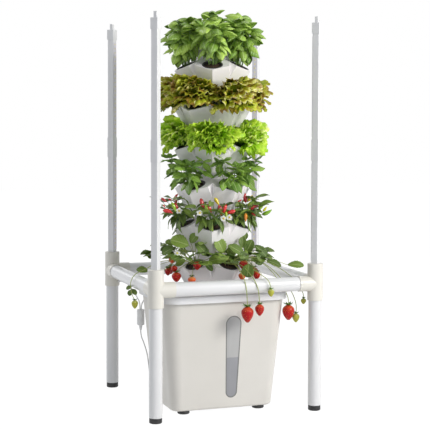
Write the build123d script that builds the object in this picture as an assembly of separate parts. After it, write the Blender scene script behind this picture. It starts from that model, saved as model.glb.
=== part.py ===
from build123d import *
import math
import os

# Hydroponic tower in a pipe frame. All lengths are in millimetres.
# X runs to the right along the front rail, Y runs to the back, Z is up.
# The origin is on the floor, in the middle of the four legs.

# Pipe frame
post_spacing = 630.0
leg_d = 50.0
rail_d = 53.0
pipe_wall = 2.5
pipe_fit = 0.2
foot_height = 20.0
foot_d = 47.5
foot_plug_depth = 25.0
foot_edge = 2.0

# Corner connectors
sleeve_d = 59.0
sleeve_below_rail = 64.0
sleeve_above_rail = 76.0
sleeve_edge = 2.0
socket_d = 58.0
socket_reach = 70.0
socket_web = 35.0
leg_stop = 34.0
pole_socket_depth = 50.0

# Light poles, square in section and turned to face the tower
bar_side = 26.0
bar_edge = 2.0
bar_fit = 0.2
joiner_side = 29.0
joiner_length = 80.0
joiner_middle = 990.0
joiner_web = 3.0
cap_side = 30.5
cap_length = 41.0
cap_bottom = 1427.0
cap_roof = 17.0
cap_edge = 1.5
nub_side = 13.5
nub_height = 23.0
led_groove_width = 23.0
led_groove_depth = 3.0
led_end_gap = 10.0
led_board = 1.2
led_chip_side = 5.0
led_chip_height = 0.9
led_chip_pitch = 34.0

# Tank, a tapered tub with rounded corners that stands inside the frame, nearer to its front left
tank_shift_x = -25.0
tank_shift_y = -100.0
tank_foot_height = 13.0
tank_foot_d = 46.0
tank_foot_x = 150.0
tank_foot_y = 110.0
tank_foot_edge = 2.0
tank_bottom_width = 402.0
tank_bottom_depth = 280.0
tank_bottom_corner = 36.0
tank_top_width = 487.0
tank_top_depth = 362.0
tank_top_corner = 60.0
tank_rim_height = 448.0
tank_wall = 3.0
tank_floor = 4.0
tank_bottom_edge = 10.0
rim_flange = 7.0
rim_flange_height = 5.0
window_offset_x = 28.0
window_top_width = 62.0
window_bottom_width = 46.0
window_top = 370.0
window_bottom = 54.0

# Heights that follow the tank's rim: the rails stand clear of its lid
rail_above_rim = 37.0
rail_height = tank_rim_height + rail_above_rim
sleeve_bottom = rail_height - sleeve_below_rail
sleeve_top = rail_height + sleeve_above_rail

# Tank lid, with a deep skirt and a collar for the tower
lid_overhang = 12.0
lid_skirt = 27.0
lid_plate = 4.0
lid_wall = 3.0
lid_edge = 5.0

# Planter tiers, each with five faceted pockets, stacked and turned half a pocket at a time
tier_count = 6
pocket_count = 5
tier_pitch = 151.0
tower_turn = -19.2
pocket_reach = 152.0
pocket_half_width = 64.0
pocket_shoulder = 115.0
mouth_tilt = 25.0
ridge_slope = 31.2
tier_wall = 3.0
neck_r = 62.0
neck_height = 70.0
spigot_r = 54.0
spigot_height = 15.0
spigot_wall = 3.5
spigot_fit = 0.4
mouth_hole_r = 36.6
mouth_hole_reach = 107.0
top_cap_roof = 3.0
top_cap_knob_r = 12.0
top_cap_knob_height = 10.0
top_cap_edge = 1.5

# Net pots and growing medium
pot_sides = 8
pot_top_r = 36.0
pot_bottom_r = 26.0
pot_depth = 50.0
pot_wall = 1.4
pot_flange_r = 39.5
pot_flange = 2.0
medium_fit = 0.3
medium_below_rim = 5.0

# Plants, as plain clumps. Each section of a clump is given by shares: how far out it sits and how
# wide it is as shares of the clump's reach, and its height as a share of the clump's rise.
basil_reach = 195.0
basil_rise = 180.0
lettuce_reach = 212.0
lettuce_rise = 146.0
mint_reach = 212.0
mint_rise = 140.0
chilli_reach = 238.0
chilli_rise = 146.0
strawberry_reach = 228.0
strawberry_rise = 112.0
basil_shares = (
    (0.5, 0.08, 0.0), (0.59, 0.25, 0.12), (0.63, 0.32, 0.38), (0.63, 0.32, 0.64), (0.58, 0.35, 0.76),
    (0.57, 0.33, 0.90), (0.56, 0.22, 1.0))
lettuce_shares = (
    (0.5, 0.08, 0.0), (0.64, 0.25, 0.22), (0.75, 0.26, 0.60), (0.83, 0.18, 0.85), (0.87, 0.08, 1.0))
chilli_shares = (
    (0.5, 0.06, 0.0), (0.56, 0.22, 0.22), (0.70, 0.25, 0.55), (0.82, 0.18, 0.85), (0.86, 0.08, 1.0))
strawberry_shares = (
    (0.5, 0.06, 0.0), (0.60, 0.24, 0.26), (0.70, 0.27, 0.60), (0.76, 0.24, 0.86), (0.78, 0.12, 1.0))
plant_rows = {
    "basil_plants": (basil_reach, basil_rise, 0.95, basil_shares),
    "red_lettuce_plants": (lettuce_reach, lettuce_rise, 1.35, lettuce_shares),
    "green_lettuce_plants": (lettuce_reach, lettuce_rise, 1.35, lettuce_shares),
    "mint_plants": (mint_reach, mint_rise, 1.35, lettuce_shares),
    "chilli_plants": (chilli_reach, chilli_rise, 1.3, chilli_shares),
    "strawberry_plants": (strawberry_reach, strawberry_rise, 1.3, strawberry_shares),
}
plant_sides = 6
plant_root = 30.0
stem_r = 18.0

# Riser pipe and pump
riser_d = 20.0
riser_bore = 14.4
riser_top_gap = 22.0
pump_width = 60.0
pump_depth = 46.0
pump_height = 40.0
pump_corner = 6.0
cup_height = 8.0
cup_r = 9.0
cup_neck_r = 4.0
cup_share = 0.5
outlet_r = 9.0
outlet_height = 10.0
outlet_spigot = 15.0
outlet_fit = 0.2
outlet_bore_r = 5.0
rotor_r = 13.0
rotor_fit = 0.8
rotor_disc = 3.0
blade_count = 5
blade_height = 7.0
blade_width = 1.6
rotor_hub_r = 4.0
shaft_r = 2.0
shaft_fit = 0.05
shaft_length = 16.0
strainer_depth = 10.0
strainer_wall = 2.0
strainer_slots = 7
strainer_slot_width = 3.5

# Cords
lead_d = 4.5
supply_d = 5.0
gland_r = 6.0
gland_flange_r = 8.0
gland_flange = 3.0
gland_seat = 3.8
gland_below_rail = 45.0
gland_height = rail_height - gland_below_rail
grommet_below_rim = 36.0
grommet_height = tank_rim_height - grommet_below_rim
grommet_side = -170.0
splitter_d = 30.0
splitter_length = 62.0
splitter_edge = 3.0
splitter_x = -259.0
splitter_y = 84.0
splitter_below_rail = 131.0
splitter_top = rail_height - splitter_below_rail
relief_length = 20.0
relief_tip_r = 4.0
coil_turn_pitch = 6.4
coil_inner_r = 19.0
coil_half_turns_in = 7
coil_half_turns_out = 6
coil_leave = 10.5
cord_sides = 8
corner_share = 0.45
plug_width = 24.0
plug_thick = 17.8
plug_length = 34.0
plug_edge = 3.0
blade_pin_width = 6.3
blade_pin_thick = 1.5
blade_pin_length = 17.0
blade_pin_gap = 12.7
plug_relief_length = 22.0
plug_relief_r = 5.0

# Routes of the free cords, chosen by hand. The frame's lead falls from its gland. The pump's lead
# lies on the tank floor, then rises to its grommet. The supply cord hangs from the splitter's tip.
frame_lead_falls = [
    (-292.02, 292.02, 0), (-281, 281, 0), (-270, 262, 4), (-264, 233, 13), (-261, 197, 23.5),
    (-261.5, 158, 35), (-261.5, 121, 46.5), (-261.5, 98.6, 54.8), (-261.5, 89.8, 63),
    (-261.5, 84.9, 74), (-261.5, 84.9, 86)]
pump_lead_start = [
    (-25, -77, 45), (-25, -60, 45), (-33, -36, 39), (-56, -14, 31), (-92, -2, 25), (-130, 2, 24),
    (-164, 4, 32), (-184, 8, 58), (-192, 14, 98), (-195.5, 21, 148), (-197, 28, 203), (-197, 35, 258),
    (-196, 40.5, 308)]
pump_lead_falls = [
    (-195, 44, 64), (-195, 46, 32), (-195, 50.5, 10), (-195, 61.7, -1.6), (-195, 93.5, 1.6),
    (-203, 106, 5), (-219, 110, 11), (-237, 103, 20.5), (-250.5, 91.5, 32.5), (-256.5, 83.1, 46),
    (-256.5, 83.1, 58)]
supply_shares = [
    (-259, 84, 1.0), (-259, 84, 0.919), (-246, 80, 0.8015), (-233, 76, 0.6324), (-227, 75, 0.4265),
    (-220, 78, 0.2426), (-211, 84, 0.1103)]
supply_end = [(-196, 92, 7), (-172, 103, 2.5), (-150, 108, 2.5), (-135, 108, 2.5)]

# Clearances and overruns
overrun = 5.0
soft_gap = 0.4

parts = {}
half = post_spacing / 2
corners = {"front_left": (-1, -1, 0), "front_right": (1, -1, 90),
           "back_right": (1, 1, 180), "back_left": (-1, 1, 270)}
tower = Pos(tank_shift_x, tank_shift_y, 0)


def column(r, bottom, top):
    """A round bar along Z between two heights."""
    return Pos(0, 0, (bottom + top) / 2) * Cylinder(r, top - bottom)


def square_bar(side, bottom, top, edge=0.0):
    """A square bar along Z between two heights, with rounded corners."""
    outline = RectangleRounded(side, side, edge) if edge else Rectangle(side, side)
    return extrude(Pos(0, 0, bottom) * outline, top - bottom)


def at_corner(shape, name):
    """Sets a piece that was made for a corner at the origin, with the frame towards +X and +Y."""
    sx, sy, turn = corners[name]
    return Pos(sx * half, sy * half, 0) * Rot(0, 0, turn) * shape


# Legs and their feet
leg_top = sleeve_bottom + leg_stop
leg = column(leg_d / 2, foot_height, leg_top) - column(leg_d / 2 - pipe_wall, foot_height, leg_top)
foot = column(foot_d / 2, 0, foot_height)
foot = chamfer(foot.edges().group_by(Axis.Z)[0], foot_edge)
foot += column(leg_d / 2 - pipe_wall - pipe_fit, foot_height, foot_height + foot_plug_depth)

# Rails along X and Y
rail_length = post_spacing - 2 * socket_web
rail = Rot(0, 90, 0) * (Cylinder(rail_d / 2, rail_length) - Cylinder(rail_d / 2 - pipe_wall, rail_length))
parts["rail_front"] = Pos(0, -half, rail_height) * rail
parts["rail_back"] = Pos(0, half, rail_height) * rail
parts["rail_left"] = Pos(-half, 0, rail_height) * Rot(0, 0, 90) * rail
parts["rail_right"] = Pos(half, 0, rail_height) * Rot(0, 0, 90) * rail


def connector(with_gland):
    """A four-way corner: a sleeve for the leg and the light pole, and a socket for each rail."""
    body = column(sleeve_d / 2, sleeve_bottom, sleeve_top)
    body = fillet(body.edges().group_by(Axis.Z)[0] + body.edges().group_by(Axis.Z)[-1], sleeve_edge)
    arm = Pos(socket_reach / 2, 0, rail_height) * Rot(0, 90, 0) * Cylinder(socket_d / 2, socket_reach)
    bore_length = socket_reach - socket_web
    bore = Cylinder(rail_d / 2 + pipe_fit, bore_length)
    bore = Pos(socket_web + bore_length / 2, 0, rail_height) * Rot(0, 90, 0) * bore
    for turn in (0, 90):
        body += Rot(0, 0, turn) * arm
    for turn in (0, 90):
        body -= Rot(0, 0, turn) * bore
    body -= column(leg_d / 2 + pipe_fit, sleeve_bottom - overrun, leg_top)
    pole_hole = square_bar(bar_side + 2 * bar_fit, sleeve_top - pole_socket_depth, sleeve_top + overrun)
    body -= Rot(0, 0, 45) * pole_hole
    if with_gland:
        seat = Pos(sleeve_d / 2, 0, gland_height) * Rot(0, 90, 0) * Cylinder(gland_r, 2 * gland_seat)
        body -= Rot(0, 0, 45) * seat
    return body


plain_connector = connector(False)
gland_connector = connector(True)
for name in corners:
    parts["leg_" + name] = at_corner(leg, name)
    parts["connector_" + name] = at_corner(gland_connector if name == "back_left" else plain_connector, name)
parts["leg_feet"] = Compound(children=[at_corner(foot, name) for name in corners])

# Light poles. They are made with the lights towards +X, then turned to the tower.
bar_bottom = sleeve_top - pole_socket_depth
joiner_bottom = joiner_middle - joiner_length / 2
joiner_top = joiner_middle + joiner_length / 2
bar_spans = ((bar_bottom, joiner_middle - joiner_web / 2, sleeve_top, joiner_bottom),
             (joiner_middle + joiner_web / 2, cap_bottom + cap_length - cap_roof, joiner_top, cap_bottom))
bars = []
strips = []
for bottom, top, lit_bottom, lit_top in bar_spans:
    bar = square_bar(bar_side, bottom, top, bar_edge)
    groove_from = lit_bottom + led_end_gap
    groove_to = lit_top - led_end_gap
    groove_x = bar_side / 2 - led_groove_depth
    bar -= Pos(groove_x + led_groove_depth, 0, (groove_from + groove_to) / 2) * Box(
        2 * led_groove_depth, led_groove_width, groove_to - groove_from)
    strip_length = groove_to - groove_from - 2 * bar_fit
    board_width = led_groove_width - 2 * bar_fit
    strip = Pos(groove_x + led_board / 2, 0, (groove_from + groove_to) / 2) * Box(
        led_board, board_width, strip_length)
    chips = int(strip_length / led_chip_pitch)
    for i in range(chips):
        chip_z = groove_from + (i + 0.5) * strip_length / chips
        strip += Pos(groove_x + led_board + led_chip_height / 2, 0, chip_z) * Box(
            led_chip_height, led_chip_side, led_chip_side)
    bars.append(bar)
    strips.append(strip)
joiner = square_bar(joiner_side, joiner_bottom, joiner_top, bar_edge)
for bottom, top in ((joiner_bottom - overrun, joiner_middle - joiner_web / 2),
                    (joiner_middle + joiner_web / 2, joiner_top + overrun)):
    joiner -= square_bar(bar_side + 2 * bar_fit, bottom, top)
cap_top = cap_bottom + cap_length
pole_cap = square_bar(cap_side, cap_bottom, cap_top, bar_edge)
pole_cap = chamfer(pole_cap.edges().group_by(Axis.Z)[-1], cap_edge)
pole_cap -= square_bar(bar_side + 2 * bar_fit, cap_bottom - overrun, cap_top - cap_roof)
pole_cap += square_bar(nub_side, cap_top, cap_top + nub_height, cap_edge)
to_tower = Rot(0, 0, 45)
for name in corners:
    parts["light_bars_" + name] = Compound(children=[at_corner(to_tower * b, name) for b in bars])
    parts["led_strips_" + name] = Compound(children=[at_corner(to_tower * s, name) for s in strips])
    parts["pole_joiner_" + name] = at_corner(to_tower * joiner, name)
    parts["pole_cap_" + name] = at_corner(to_tower * pole_cap, name)


def tub(inset, bottom, top):
    """The tapered tub between two heights, inset from its outside by a wall."""
    ends = []
    for z in (bottom, top):
        share = (z - tank_foot_height) / (tank_rim_height - tank_foot_height)
        width = tank_bottom_width + share * (tank_top_width - tank_bottom_width) - 2 * inset
        depth = tank_bottom_depth + share * (tank_top_depth - tank_bottom_depth) - 2 * inset
        corner = tank_bottom_corner + share * (tank_top_corner - tank_bottom_corner) - inset
        ends.append(Pos(0, 0, z) * RectangleRounded(width, depth, corner))
    return loft(ends, ruled=True)


# Tank body: tub, rolled rim and window slot
tank_outer = tub(0, tank_foot_height, tank_rim_height)
tank_outer = fillet(tank_outer.edges().group_by(Axis.Z)[0], tank_bottom_edge)
flange_width = tank_top_width + 2 * rim_flange
flange_depth = tank_top_depth + 2 * rim_flange
flange_outline = RectangleRounded(flange_width, flange_depth, tank_top_corner + rim_flange)
flange = extrude(Pos(0, 0, tank_rim_height - rim_flange_height) * flange_outline, rim_flange_height)
tank_shell = tank_outer + flange
tank_shell -= tub(tank_wall, tank_foot_height + tank_floor, tank_rim_height + overrun)
window_top_r = window_top_width / 2
window_bottom_r = window_bottom_width / 2
window_high = window_top - window_top_r
window_low = window_bottom + window_bottom_r
window_lean = math.asin((window_top_r - window_bottom_r) / (window_high - window_low))
window_cos = math.cos(window_lean)
window_sin = math.sin(window_lean)
high_right = (window_top_r * window_cos, window_high - window_top_r * window_sin)
low_right = (window_bottom_r * window_cos, window_low - window_bottom_r * window_sin)
high_left = (-high_right[0], high_right[1])
low_left = (-low_right[0], low_right[1])
window_outline = make_face([
    Line(low_right, high_right), ThreePointArc(high_right, (0, window_top), high_left),
    Line(high_left, low_left), ThreePointArc(low_left, (0, window_bottom), low_right)])
window_plane = Plane(origin=(window_offset_x, 0, 0), x_dir=(1, 0, 0), z_dir=(0, -1, 0))
window_prism = extrude(window_plane * window_outline, tank_top_depth)
tub_height = tank_rim_height - tank_foot_height
back_run = (tank_top_depth - tank_bottom_depth) / 2
tank_back_y = tank_bottom_depth / 2 + back_run * (grommet_height - tank_foot_height) / tub_height
tank_back_lean = math.degrees(math.atan2(back_run, tub_height))
grommet_frame = Pos(grommet_side, tank_back_y, grommet_height) * Rot(-90 - tank_back_lean, 0, 0)
tank_hole = grommet_frame * Cylinder(gland_r, 4 * tank_wall)
parts["tank_body"] = tower * (tank_shell - window_prism - tank_hole)
parts["tank_window"] = tower * (tank_shell & window_prism)
tank_foot = column(tank_foot_d / 2, 0, tank_foot_height)
tank_foot = chamfer(tank_foot.edges().group_by(Axis.Z)[0], tank_foot_edge)
parts["tank_feet"] = Compound(children=[tower * Pos(sx * tank_foot_x, sy * tank_foot_y, 0) * tank_foot
                                        for sx in (-1, 1) for sy in (-1, 1)])

# Tank lid with its skirt and the collar that the lowest tier sits round
lid_top = tank_rim_height + lid_plate
lid_width = tank_top_width + 2 * lid_overhang
lid_depth = tank_top_depth + 2 * lid_overhang
lid_corner = tank_top_corner + lid_overhang
lid_outline = RectangleRounded(lid_width, lid_depth, lid_corner)
lid = extrude(Pos(0, 0, lid_top - lid_skirt) * lid_outline, lid_skirt)
lid = fillet(lid.edges().group_by(Axis.Z)[-1], lid_edge)
lid -= extrude(Pos(0, 0, tank_rim_height) * RectangleRounded(
    lid_width - 2 * lid_wall, lid_depth - 2 * lid_wall, lid_corner - lid_wall), -lid_skirt)
lid += column(spigot_r, lid_top, lid_top + spigot_height)
lid -= column(spigot_r - spigot_wall, tank_rim_height - overrun, lid_top + spigot_height + overrun)
parts["tank_lid"] = tower * lid

# One planter tier. Height 0 is the tip of a pocket's rim, and pocket 0 points along +X.
mouth_rise = math.tan(math.radians(mouth_tilt))
ridge_run = math.tan(math.radians(ridge_slope))
tier_base = neck_height - tier_pitch
shoulder_rise = (pocket_reach - pocket_shoulder) * mouth_rise
ridge_at_shoulder = pocket_reach + shoulder_rise * ridge_run
facet_run = ridge_at_shoulder - pocket_shoulder
half_pocket = math.radians(180 / pocket_count)
wedge_reach = 2 * pocket_reach
wedge_height = neck_height - tier_base


def pocket(inset, floor_z):
    """One pocket's slanted prism, cut to its own wedge of the tier and to its mouth."""
    facet_turn = math.atan2(facet_run, pocket_half_width)
    tip = pocket_reach + floor_z * ridge_run - inset / math.cos(facet_turn)
    side = pocket_half_width - inset
    shoulder = tip - side * math.tan(facet_turn)
    outline = make_face(Polyline((tip, 0), (shoulder, side), (-pocket_reach, side),
                                 (-pocket_reach, -side), (shoulder, -side), close=True))
    slant = Vector(ridge_run, 0, 1)
    prism = extrude(Pos(0, 0, floor_z) * outline, wedge_height * slant.length, dir=slant.normalized())
    wedge_side = wedge_reach * math.tan(half_pocket)
    wedge = make_face(Polyline(
        (0, 0), (wedge_reach, wedge_side), (wedge_reach, -wedge_side), close=True))
    prism &= extrude(Pos(0, 0, floor_z) * wedge, wedge_height)
    mouth = Pos(pocket_reach, 0, -inset / math.cos(math.radians(mouth_tilt))) * Rot(0, mouth_tilt, 0)
    prism -= mouth * Pos(0, 0, wedge_height) * Box(2 * wedge_reach, 2 * wedge_reach, 2 * wedge_height)
    return prism


turns = [360 * i / pocket_count for i in range(pocket_count)]
outer_pocket = pocket(0, tier_base)
inner_pocket = pocket(tier_wall, tier_base + tier_wall)
tier = Part() + [Rot(0, 0, a) * outer_pocket for a in turns]
neck_foot = (pocket_reach - neck_r) * mouth_rise - tier_wall
tier += column(neck_r, neck_foot, neck_height)
tier -= Part() + [Rot(0, 0, a) * inner_pocket for a in turns]
tier -= column(neck_r - tier_wall, neck_foot - overrun, neck_height - tier_wall)
tier += column(spigot_r, neck_height - tier_wall, neck_height + spigot_height)
tier -= column(spigot_r - spigot_wall, neck_foot, neck_height + spigot_height + overrun)
tier -= column(spigot_r + spigot_fit, tier_base - overrun, tier_base + tier_wall + overrun)
mouth_height = (pocket_reach - mouth_hole_reach) * mouth_rise
mouth_frame = Pos(mouth_hole_reach, 0, mouth_height) * Rot(0, mouth_tilt, 0)
for a in turns:
    tier -= Rot(0, 0, a) * mouth_frame * Cylinder(mouth_hole_r, 4 * tier_wall)


def ring(sides, r, z):
    """A regular outline at a height, one of the sections of a pot or a plant."""
    return Pos(0, 0, z) * RegularPolygon(r, sides)


# Net pot and growing medium in a pot's own frame, with height 0 on the mouth
net_pot = loft([ring(pot_sides, pot_bottom_r, -pot_depth), ring(pot_sides, pot_top_r, 0)], ruled=True)
net_pot += extrude(ring(pot_sides, pot_flange_r, 0), pot_flange)
pot_taper = (pot_top_r - pot_bottom_r) / pot_depth
inner_low_r = pot_bottom_r - pot_wall + pot_wall * pot_taper
inner_high_r = pot_top_r - pot_wall + pot_flange * pot_taper
net_pot -= loft([ring(pot_sides, inner_low_r, pot_wall - pot_depth),
                 ring(pot_sides, inner_high_r, pot_flange)], ruled=True)
medium_top = pot_flange - medium_below_rim
medium_high_r = inner_high_r - medium_below_rim * pot_taper - medium_fit
medium = loft([ring(pot_sides, inner_low_r - medium_fit, pot_wall - pot_depth),
               ring(pot_sides, medium_high_r, medium_top)], ruled=True)

top_tier_height = lid_top - tier_base + (tier_count - 1) * tier_pitch
plant_foot = (mouth_frame * Pos(0, 0, medium_top)).position


def clump(reach, rise, breadth_share, shares):
    """A plant: sections that lean out from the pot and widen, then close at the top."""
    sections = []
    for out_share, wide_share, up_share in shares:
        wide = wide_share * reach
        corners_of_section = []
        for i in range(plant_sides):
            a = 2 * math.pi * (i + 0.5) / plant_sides
            corners_of_section.append((wide * math.cos(a), breadth_share * wide * math.sin(a)))
        outline = make_face(Polyline(*corners_of_section, close=True))
        x = plant_foot.X if up_share == 0 else out_share * reach
        z = plant_foot.Z + up_share * rise - (0 if up_share else plant_root)
        sections.append(Pos(x, 0, z) * outline)
    grown = loft(sections, ruled=True)
    below = 2 * wedge_reach
    grown -= mouth_frame * Pos(0, 0, pot_flange + soft_gap - below / 2) * Box(below, below, below)
    return grown + mouth_frame * extrude(ring(plant_sides, stem_r, medium_top + soft_gap), plant_root)


pots = []
media = []
for i, (plant, (reach, rise, breadth_share, shares)) in enumerate(plant_rows.items()):
    turn = tower_turn - 90 + (i % 2) * 180 / pocket_count
    place = tower * Pos(0, 0, top_tier_height - i * tier_pitch) * Rot(0, 0, turn)
    parts["planter_tier_" + str(i + 1)] = place * tier
    spots = [place * Rot(0, 0, a) for a in turns]
    pots += [spot * mouth_frame * net_pot for spot in spots]
    media += [spot * mouth_frame * medium for spot in spots]
    grown = clump(reach, rise, breadth_share, shares)
    parts[plant] = Compound(children=[spot * grown for spot in spots])
parts["net_pots"] = Compound(children=pots)
parts["growing_medium"] = Compound(children=media)

# Top cap over the spigot of the highest tier
cap_foot = top_tier_height + neck_height
cap_crown = cap_foot + spigot_height + top_cap_roof + spigot_fit
top_cap = column(neck_r, cap_foot, cap_crown)
top_cap = fillet(top_cap.edges().group_by(Axis.Z)[-1], top_cap_edge)
top_cap -= column(spigot_r + spigot_fit, cap_foot - overrun, cap_crown - top_cap_roof)
top_cap += column(top_cap_knob_r, cap_crown, cap_crown + top_cap_knob_height)
parts["tower_top_cap"] = tower * top_cap

# Pump on its suction cups, in the middle of the tank floor, with the rotor along Y
tank_floor_top = tank_foot_height + tank_floor
pump_bottom = tank_floor_top + cup_height
pump_top = pump_bottom + pump_height
pump_middle = (pump_bottom + pump_top) / 2
pump_front = -pump_depth / 2
pump = extrude(Pos(0, 0, pump_bottom) * RectangleRounded(pump_width, pump_depth, pump_corner), pump_height)
riser_foot = pump_top + outlet_height
pump += column(outlet_r, pump_top, riser_foot)
pump += column(riser_bore / 2 - outlet_fit, riser_foot, riser_foot + outlet_spigot)
pump -= column(outlet_bore_r, pump_middle + shaft_r + overrun, riser_foot + outlet_spigot + overrun)
along_y = Rot(90, 0, 0)
chamber_depth = blade_height + rotor_disc + 2 * rotor_fit
chamber = Pos(0, pump_front + chamber_depth / 2, pump_middle) * along_y * Cylinder(
    rotor_r + rotor_fit, chamber_depth)
shaft_start = pump_front + chamber_depth - rotor_fit
bearing = Pos(0, shaft_start + shaft_length / 2, pump_middle) * along_y * Cylinder(
    shaft_r + shaft_fit, shaft_length + 2 * rotor_fit)
pump -= chamber + bearing
parts["pump_body"] = tower * pump
cup = column(cup_r, tank_floor_top, tank_floor_top + cup_share * cup_height)
cup = chamfer(cup.edges().group_by(Axis.Z)[-1], cup_share * cup_height * cup_share)
cup += column(cup_neck_r, tank_floor_top + cup_share * cup_height, pump_bottom)
cup_x = pump_width / 2 - cup_r
cup_y = pump_depth / 2 - cup_r
parts["pump_suction_cups"] = Compound(children=[tower * Pos(sx * cup_x, sy * cup_y, 0) * cup
                                                for sx in (-1, 1) for sy in (-1, 1)])
disc_y = pump_front + chamber_depth - rotor_fit - rotor_disc / 2
rotor = Pos(0, disc_y, pump_middle) * along_y * Cylinder(rotor_r, rotor_disc)
blades_at = Pos(0, disc_y - rotor_disc / 2 - blade_height / 2, pump_middle)
rotor += blades_at * along_y * Cylinder(rotor_hub_r, blade_height)
blade = Pos((rotor_r + rotor_hub_r) / 2 - blade_width / 2, 0, 0) * Box(
    rotor_r - rotor_hub_r + blade_width, blade_height, blade_width)
for i in range(blade_count):
    rotor += blades_at * Rot(0, 360 * i / blade_count, 0) * blade
rotor += Pos(0, shaft_start + shaft_length / 2, pump_middle) * along_y * Cylinder(shaft_r, shaft_length)
parts["pump_impeller"] = tower * rotor
strainer = Pos(0, pump_front - strainer_depth / 2, pump_middle) * Box(pump_width, strainer_depth, pump_height)
strainer = fillet(strainer.edges().filter_by(Axis.Z).group_by(Axis.Y)[0], pump_corner)
strainer -= Pos(0, pump_front - strainer_depth / 2 + strainer_wall, pump_middle) * Box(
    pump_width - 2 * strainer_wall - pump_corner, strainer_depth, pump_height - 2 * strainer_wall)
slot_pitch = (pump_width - 2 * pump_corner - strainer_slot_width) / strainer_slots
for i in range(strainer_slots):
    slot_x = (i - (strainer_slots - 1) / 2) * slot_pitch
    strainer -= Pos(slot_x, pump_front - strainer_depth, pump_middle) * Box(
        strainer_slot_width, 4 * strainer_wall, pump_height - 4 * strainer_wall)
parts["pump_strainer"] = tower * strainer
riser_top = cap_crown - top_cap_roof - riser_top_gap
riser = column(riser_d / 2, riser_foot, riser_top) - column(riser_bore / 2, riser_foot, riser_top)
parts["riser_pipe"] = tower * riser

# Splitter block where the two leads join, with its strain relief
splitter_bottom = splitter_top - splitter_length
splitter = column(splitter_d / 2, splitter_bottom, splitter_top)
splitter_rims = splitter.edges().group_by(Axis.Z)
splitter = fillet(splitter_rims[0] + splitter_rims[-1], splitter_edge)
relief = Pos(0, 0, splitter_bottom - relief_length / 2) * Cone(relief_tip_r, 2 * relief_tip_r, relief_length)
parts["lead_splitter"] = Pos(splitter_x, splitter_y, 0) * (splitter + relief)

# Glands: one on the back left connector, one through the tank's back
gland = Pos(0, 0, gland_flange / 2) * Cylinder(gland_r, gland_flange)
gland += Pos(0, 0, -gland_seat / 2) * Cylinder(gland_r - pipe_fit, gland_seat)
gland_seat_place = Rot(0, 0, 45) * Pos(sleeve_d / 2, 0, gland_height) * Rot(0, 90, 0)
gland_on_frame = at_corner(gland_seat_place * gland, "back_left")
grommet = Pos(0, 0, gland_flange / 2) * Cylinder(gland_flange_r, gland_flange)
grommet += Cylinder(gland_r - pipe_fit, 4 * tank_wall)
grommet -= Cylinder(lead_d / 2, 4 * tank_wall + 2 * gland_flange)
grommet_on_tank = tower * grommet_frame * grommet
parts["lead_glands"] = Compound(children=[gland_on_frame, grommet_on_tank])


def tube(name, path, d):
    """A cord's tube along a path, with its length and volume printed."""
    section = Plane(origin=path @ 0, z_dir=path % 0) * RegularPolygon(d / 2, cord_sides)
    solid = sweep(section, path)
    print(name, "length", round(path.length, 1), "volume over section times length",
          round(solid.volume / (section.area * path.length), 4))
    return solid


def cord(name, route, d):
    """A free cord: straight runs joined by arcs as large as the runs allow."""
    points = [Vector(*p) for p in route]
    radii = []
    for a, b, c in zip(points, points[1:], points[2:]):
        turn = math.radians((b - a).get_angle(c - b))
        radii.append(corner_share * min((b - a).length, (c - b).length) / math.tan(turn / 2))
    print(name, "radii in diameters", [round(r / d, 1) for r in radii])
    return tube(name, FilletPolyline(*route, radius=radii), d)


def coil_path(start, d):
    """Half turns that spiral in on the floor, climb a layer, and spiral out to the plug."""
    outer_r = coil_inner_r + coil_half_turns_in * coil_turn_pitch / 2
    entry = Vector(*start) + Vector(d, 0, 0)
    middle = entry + Vector(0, outer_r, 0)
    side = -1
    r = outer_r
    stations = [(side, r, 0)]
    for i in range(coil_half_turns_in + 1 + coil_half_turns_out):
        side = -side
        if i < coil_half_turns_in:
            r -= coil_turn_pitch / 2
        elif i > coil_half_turns_in:
            r += coil_turn_pitch / 2
        stations.append((side, r, 0 if i < coil_half_turns_in else coil_turn_pitch))
    stations[-1] = (side, r + coil_leave, coil_turn_pitch)
    spots = [(middle + Vector(0, s * r, up), Vector(-s, 0, 0)) for s, r, up in stations]
    arcs = [Line(start, entry)]
    for (a, a_dir), (b, b_dir) in zip(spots, spots[1:]):
        if a.Z == b.Z:
            arcs.append(TangentArc(a, b, tangent=a_dir))
        else:
            reach = (b - a).length / 2
            top = (a + a_dir * reach + b - b_dir * reach) / 2
            arcs.append(TangentArc(a, top, tangent=a_dir))
            arcs.append(TangentArc(top, b, tangent=arcs[-1] % 1))
    arcs.append(Line(spots[-1][0], spots[-1][0] + Vector(d, 0, 0)))
    return Wire([arc.edge() for arc in arcs])


def least_gap(path, d):
    """The least distance between turns of a path, less the tube's own thickness."""
    count = int(path.length / d * 2)
    spots = [path @ (i / count) for i in range(count + 1)]
    apart = int(math.pi * coil_inner_r / path.length * count)
    pairs = [(a, b) for i, a in enumerate(spots) for b in spots[i + apart:]]
    return min((a - b).length for a, b in pairs) - d


# Free cords, the put-away coil of the supply cord, and its plug
frame_lead_route = [(x, y, gland_height - fall) for x, y, fall in frame_lead_falls]
pump_lead_route = pump_lead_start + [(x, y, grommet_height - fall) for x, y, fall in pump_lead_falls]
relief_tip = splitter_bottom - relief_length
supply_route = [(x, y, share * relief_tip) for x, y, share in supply_shares] + supply_end
parts["frame_lead"] = cord("frame_lead", frame_lead_route, lead_d)
parts["pump_lead"] = cord("pump_lead", pump_lead_route, lead_d)
parts["supply_cord"] = cord("supply_cord", supply_route, supply_d)
coil = coil_path(supply_route[-1], supply_d)
parts["supply_coil"] = tube("supply_coil", coil, supply_d)
print("supply_coil least gap", round(least_gap(coil, supply_d), 2))
plug_at = coil @ 1
plug = Pos(plug_relief_length + plug_length / 2, 0, 0) * Box(plug_length, plug_width, plug_thick)
plug = fillet(plug.edges().filter_by(Axis.X), plug_edge)
plug_relief = Rot(0, 90, 0) * Cone(supply_d / 2, plug_relief_r, plug_relief_length)
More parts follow.
